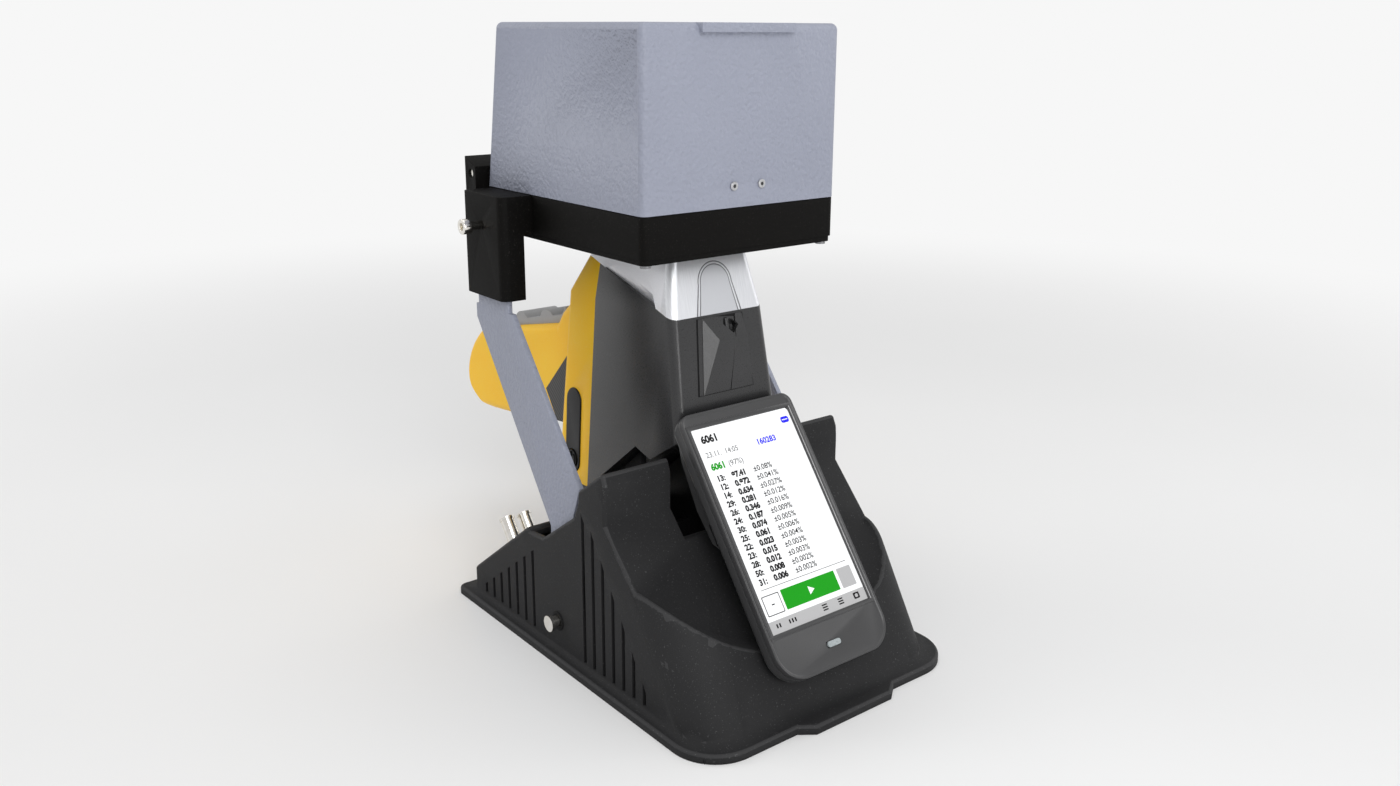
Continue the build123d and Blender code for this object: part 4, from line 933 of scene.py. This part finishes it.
# %% Lip round the case
CASE_HALF, CASE_TOP_V, CASE_FOOT_V, CASE_FRONT_T = 38.5, 65.0, -81.5, 4.0
CASE_FOOT_R, CASE_TOP_R, CASE_LIP, CASE_SINK = 16.0, 6.0, (1.0, 0.7), 0.6
GLASS_LOW, GLASS_HIGH = (-34, -56.5, -5), (34, 57, 1)           # opening for the glass
LENS_LOW, LENS_HIGH = (-4.6, -71.9, -5), (4.6, -68.7, 1)        # slot for the lamp's lens
PORT_LOW, PORT_HIGH = (-36.2, -3.4, -14.1), (-35.7, 8.4, -12.3)
bezel = block("display_front", (-CASE_HALF, CASE_FOOT_V, -CASE_FRONT_T), (CASE_HALF, CASE_TOP_V, 0))


def pick(piece, kind, test):
    """Selects the edges or faces of a piece for which a test holds, in edit mode."""
    fresh()
    piece.select_set(True)
    bpy.context.view_layer.objects.active = piece
    bpy.ops.object.mode_set(mode="EDIT")
    bpy.ops.mesh.select_mode(type=kind)
    bpy.ops.mesh.select_all(action="DESELECT")
    mesh = bmesh.from_edit_mesh(piece.data)
    for part in mesh.edges if kind == "EDGE" else mesh.faces:
        part.select_set(test(part))
    bmesh.update_edit_mesh(piece.data)


def upright(low_v, high_v):
    """Edges square to the screen between two heights of v."""

    def test(line):
        a, b = (vertex.co / MM for vertex in line.verts)
        return abs(a.z - b.z) > 1 and low_v < a.y < high_v

    return test


for low_v, high_v, corner in ((-90, 0, CASE_FOOT_R), (0, 90, CASE_TOP_R)):
    pick(bezel, "EDGE", upright(low_v, high_v))
    bpy.ops.mesh.bevel(offset=corner * MM, segments=12)
pick(bezel, "FACE", lambda face: face.normal.z > 0.9)
bpy.ops.mesh.inset(thickness=CASE_LIP[0] * MM, depth=0)
bpy.ops.mesh.inset(thickness=CASE_LIP[1] * MM, depth=-CASE_SINK * MM)
bpy.ops.object.mode_set(mode="OBJECT")
carve(bezel, block("window", GLASS_LOW, GLASS_HIGH))
carve(bezel, block("lens_slot", LENS_LOW, LENS_HIGH))
rounded(bezel, 0.35, 2, 40, 32)
moved(bezel, SCREEN_SEAT, SCREEN_TURN)
seated(bezel, "display_bezel", FINISHES["display_case"], ("display_bezel",))

# %% Slanting frame
# A light grey satin for the frame's right wall: a painted highlight.
PAINTED_HIGHLIGHT_WALL = satin("screen frame painted highlight", 150, 0.25, 0.5)
frame_piece = block(
    "screen_frame",
    (-FRAME_OUT[0], FRAME_OUT[2], FRAME_FOOT_W),
    (FRAME_OUT[0], FRAME_OUT[1], FRAME_TOP_W),
)
window = block("window", (-FRAME_IN[0], FRAME_IN[2], -1.6), (FRAME_IN[0], FRAME_IN[1], 0.4))
pick(window, "FACE", lambda face: face.normal.z > 0.9)
bpy.ops.transform.resize(value=FRAME_FLARE)
bpy.ops.object.mode_set(mode="OBJECT")
carve(frame_piece, window)
rounded(frame_piece, 0.22, 2)
frame_piece.data.materials.append(FINISHES["display_case"])
frame_piece.data.materials.append(PAINTED_HIGHLIGHT_WALL)
# Faces of the right wall that face left take the painted highlight.
pick(frame_piece, "FACE", lambda face: face.normal.x < -0.3 and face.calc_center_median().x > 0)
frame_piece.active_material_index = 1
bpy.ops.object.material_slot_assign()
bpy.ops.object.mode_set(mode="OBJECT")
moved(frame_piece, SCREEN_SEAT, SCREEN_TURN)
seated(frame_piece, "display_bezel")

# %% Port on the left of the case, a near-black block that paints the shade in its opening
port = rounded(block("side_port", PORT_LOW, PORT_HIGH), 0.2)
moved(port, SCREEN_SEAT, SCREEN_TURN)
seated(port, "display_back", SHADE_AND_SIGN_BLACK)

# %% [markdown]
# ## What the screen shows
# The reading is drawn with thin solids that glow: rows of numbers are text turned
# into mesh, and the keys are flat tiles with rounded corners. Only numbers and
# simple signs are used. Everything is laid out in the screen's own plane, with u
# to the right and v up, and then tilted with the display.

# %% Helpers
LAYER, SCREEN_AIR = 0.03, 0.02    # thickness of one layer, and its height over the glass
picture = {ink: [] for ink in INKS}


def tile(ink, u0, v0, u1, v1, layer=1, corner=0.3):
    """A flat key with rounded corners."""
    low = GLASS_W + SCREEN_AIR
    piece = block("tile", (u0, v0, low), (u1, v1, low + LAYER * layer))
    pick(piece, "EDGE", lambda line: abs(line.verts[0].co.z - line.verts[1].co.z) > 1e-6)
    bpy.ops.mesh.bevel(offset=corner * MM, segments=3)
    bpy.ops.mesh.select_mode(type="VERT")
    bpy.ops.object.mode_set(mode="OBJECT")
    picture[ink].append(piece)


def figures(ink, words, u, v, size, bold=0.0, row=1.0, layer=1):
    """Numbers as flat mesh; v is the foot of the first row."""
    fresh()
    bpy.ops.object.text_add(location=(u * MM, v * MM, (GLASS_W + LAYER + LAYER * layer) * MM))
    piece = bpy.context.object
    piece.data.body, piece.data.size = words, size * MM
    piece.data.offset, piece.data.space_line = bold * MM, row
    piece.data.resolution_u = 3
    bpy.ops.object.convert(target="MESH")
    picture[ink].append(bpy.context.object)


# %% Heading and result rows
ROW_TOP, ROW_PITCH, ROW_SIZE = 26.7, 4.78, 4.35
ROWS = (    # number of the row, value, spread
    (13, "97.41", "0.08%"), (12, "0.972", "0.041%"), (14, "0.634", "0.027%"),
    (29, "0.281", "0.012%"), (26, "0.346", "0.016%"), (24, "0.187", "0.009%"),
    (30, "0.074", "0.005%"), (25, "0.061", "0.006%"), (22, "0.023", "0.004%"),
    (23, "0.015", "0.003%"), (28, "0.012", "0.003%"), (50, "0.008", "0.002%"),
    (31, "0.006", "0.002%"),
)
row_space = ROW_PITCH / ROW_SIZE
figures("black", "6061", -29.7, 48.3, 5.6, 0.28)
figures("blue", "160283", 4.6, 40.2, 4.6, 0.14)
figures("soft", "23.11.  14:05", -30.4, 40.2, 4.2)
figures("green", "6061", -30.2, 33.2, 4.8, 0.26)
figures("soft", "(97%)", -18.6, 33.2, 4.4)
figures("black", "\n".join(f"{n}:" for n, _, _ in ROWS), -29.4, ROW_TOP, ROW_SIZE, 0.2, row_space)
figures("black", "\n".join(v for _, v, _ in ROWS), -19.4, ROW_TOP, ROW_SIZE, 0.26, row_space)
figures("black", "\n".join(f"±{t}" for _, _, t in ROWS), -4.6, ROW_TOP, ROW_SIZE, 0.05, row_space)
print(len(ROWS), "rows of numbers")

# %% Keys and signs
tile("soft", -30.5, -33.25, 29.8, -32.95, 1, 0.1)
tile("soft", -32.0, -46.8, -20.5, -36.2, 1, 0.6)
tile("white", -31.5, -46.3, -21.0, -36.7, 2, 0.5)
tile("green", -19.0, -46.5, 19.0, -35.9, 1, 0.4)
tile("silver", 21.0, -46.7, 30.9, -35.9, 1, 0.4)
tile("silver", -33.9, -56.3, 33.9, -49.3, 1, 0.2)
tile("black", -27.4, -41.8, -25.2, -41.2, 3, 0.2)
for u in (2.6, 14.0):
    for row in range(3):
        tile("black", u, -51.2 - row * 1.3, u + 3.6, -50.5 - row * 1.3, 2, 0.2)
tile("black", 25.2, -54.0, 29.4, -50.6, 2, 0.6)
tile("silver", 26.3, -53.2, 28.3, -51.4, 3, 0.6)
for u in (-29.5, -27.6, -21.0, -19.0, -17.0):
    tile("black", u, -53.4, u + 1.0, -51.2, 2, 0.3)
tile("blue", 26.6, 48.3, 32.2, 51.9, 1, 1.2)
tile("white", 27.4, 49.9, 31.4, 50.4, 2, 0.1)
fresh()
bpy.ops.mesh.primitive_circle_add(
    vertices=3, radius=2.6 * MM, fill_type="NGON",
    location=(0, -41.2 * MM, (GLASS_W + 3 * LAYER) * MM), rotation=(0, 0, -pi / 2),
)
bpy.ops.object.mode_set(mode="EDIT")
bpy.ops.mesh.inset(thickness=0.4 * MM)
bpy.ops.object.mode_set(mode="OBJECT")
picture["white"].append(bpy.context.object)
print({ink: len(parts) for ink, parts in picture.items()})

# %% Join each ink and tilt it into the display
for ink, parts in picture.items():
    fresh()
    for part in parts:
        part.select_set(True)
        bpy.context.view_layer.objects.active = part
    bpy.ops.object.transform_apply(location=True, rotation=True, scale=True)
    bpy.ops.object.join()
    sheet = bpy.context.object
    sheet.name = sheet.data.name = f"screen_{ink}"
    moved(sheet, SCREEN_SEAT, SCREEN_TURN)
    seated(sheet, "display_glass", INKS[ink])

# %% [markdown]
# ## Power sign
# The lower key carries a moulded power sign: an open ring with a short bar in the
# opening. It is a thin torus with a wedge of faces deleted and the holes filled, so
# the ring's two ends are closed, and a rounded bar.

# %% Open ring and bar
key_low, key_high = (Vector(corner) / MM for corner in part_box("power_button"))
key_centre = (key_low + key_high) / 2
SIGN_R, SIGN_T, SIGN_OPEN = 4.1, 0.42, radians(38)
fresh()
bpy.ops.mesh.primitive_torus_add(
    major_radius=SIGN_R * MM, minor_radius=SIGN_T * MM, major_segments=40, minor_segments=8
)
ring = bpy.context.object
ring.name = ring.data.name = "power_sign_ring"
bpy.ops.object.mode_set(mode="EDIT")
bpy.ops.mesh.select_all(action="DESELECT")
mesh = bmesh.from_edit_mesh(ring.data)
for face in mesh.faces:
    middle = face.calc_center_median()
    face.select_set(abs(atan2(middle.x, middle.y)) < SIGN_OPEN)
bmesh.update_edit_mesh(ring.data)
bpy.ops.mesh.delete(type="FACE")
bpy.ops.mesh.select_all(action="SELECT")
bpy.ops.mesh.fill_holes(sides=0)
bpy.ops.object.mode_set(mode="OBJECT")
bpy.ops.object.shade_smooth_by_angle(angle=radians(40))
stroke = rounded(block("power_sign_bar", (-0.42, 1.4, -0.4), (0.42, 4.7, 0.4)), 0.3)
SIGN_TURN = (pi / 2, 0, -pi / 2)
for piece in (ring, stroke):
    moved(piece, (key_low.x + 0.02, key_centre.y, key_centre.z), SIGN_TURN)
    seated(piece, "power_button", SHADE_AND_SIGN_BLACK)

# %% [markdown]
# ## Painted shade behind each pivot head
# Where the pin leaves the side wall, a near-black disc paints the shade in the bore's
# mouth. It is a short cylinder with its middle cut out and its rims rounded. It is
# modelled once, and each side gets a copy with a mesh of its own.

# %% Two discs of painted shade
HOUSING_HALF_W, BORE_SHADE_PROUD = 83.5, 0.1
BORE_SHADE_R, BORE_SHADE_T, BORE_SHADE_HOLE_R = 5.6, 0.9, 3.5
rings = []
for radius, depth in ((BORE_SHADE_R, BORE_SHADE_T), (BORE_SHADE_HOLE_R, 4.0)):
    fresh()
    bpy.ops.mesh.primitive_cylinder_add(vertices=40, radius=radius * MM, depth=depth * MM)
    rings.append(bpy.context.object)
bore_shade_disc = rounded(carve(*rings), 0.2, 2)
for side, hand in ((-1, "left"), (1, "right")):
    pin = f"pivot_pin_{hand}"
    pin_low, pin_high = (Vector(corner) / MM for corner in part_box(pin))
    middle = (pin_low + pin_high) / 2
    copy = bore_shade_disc.copy()
    copy.data = bore_shade_disc.data.copy()
    copy.name = copy.data.name = f"pivot_bore_shade_{hand}"
    scene.collection.objects.link(copy)
    moved(copy, (side * (HOUSING_HALF_W + BORE_SHADE_PROUD), middle.y, middle.z), (0, pi / 2, 0))
    seated(copy, pin, SHADE_AND_SIGN_BLACK)
bpy.data.objects.remove(bore_shade_disc)
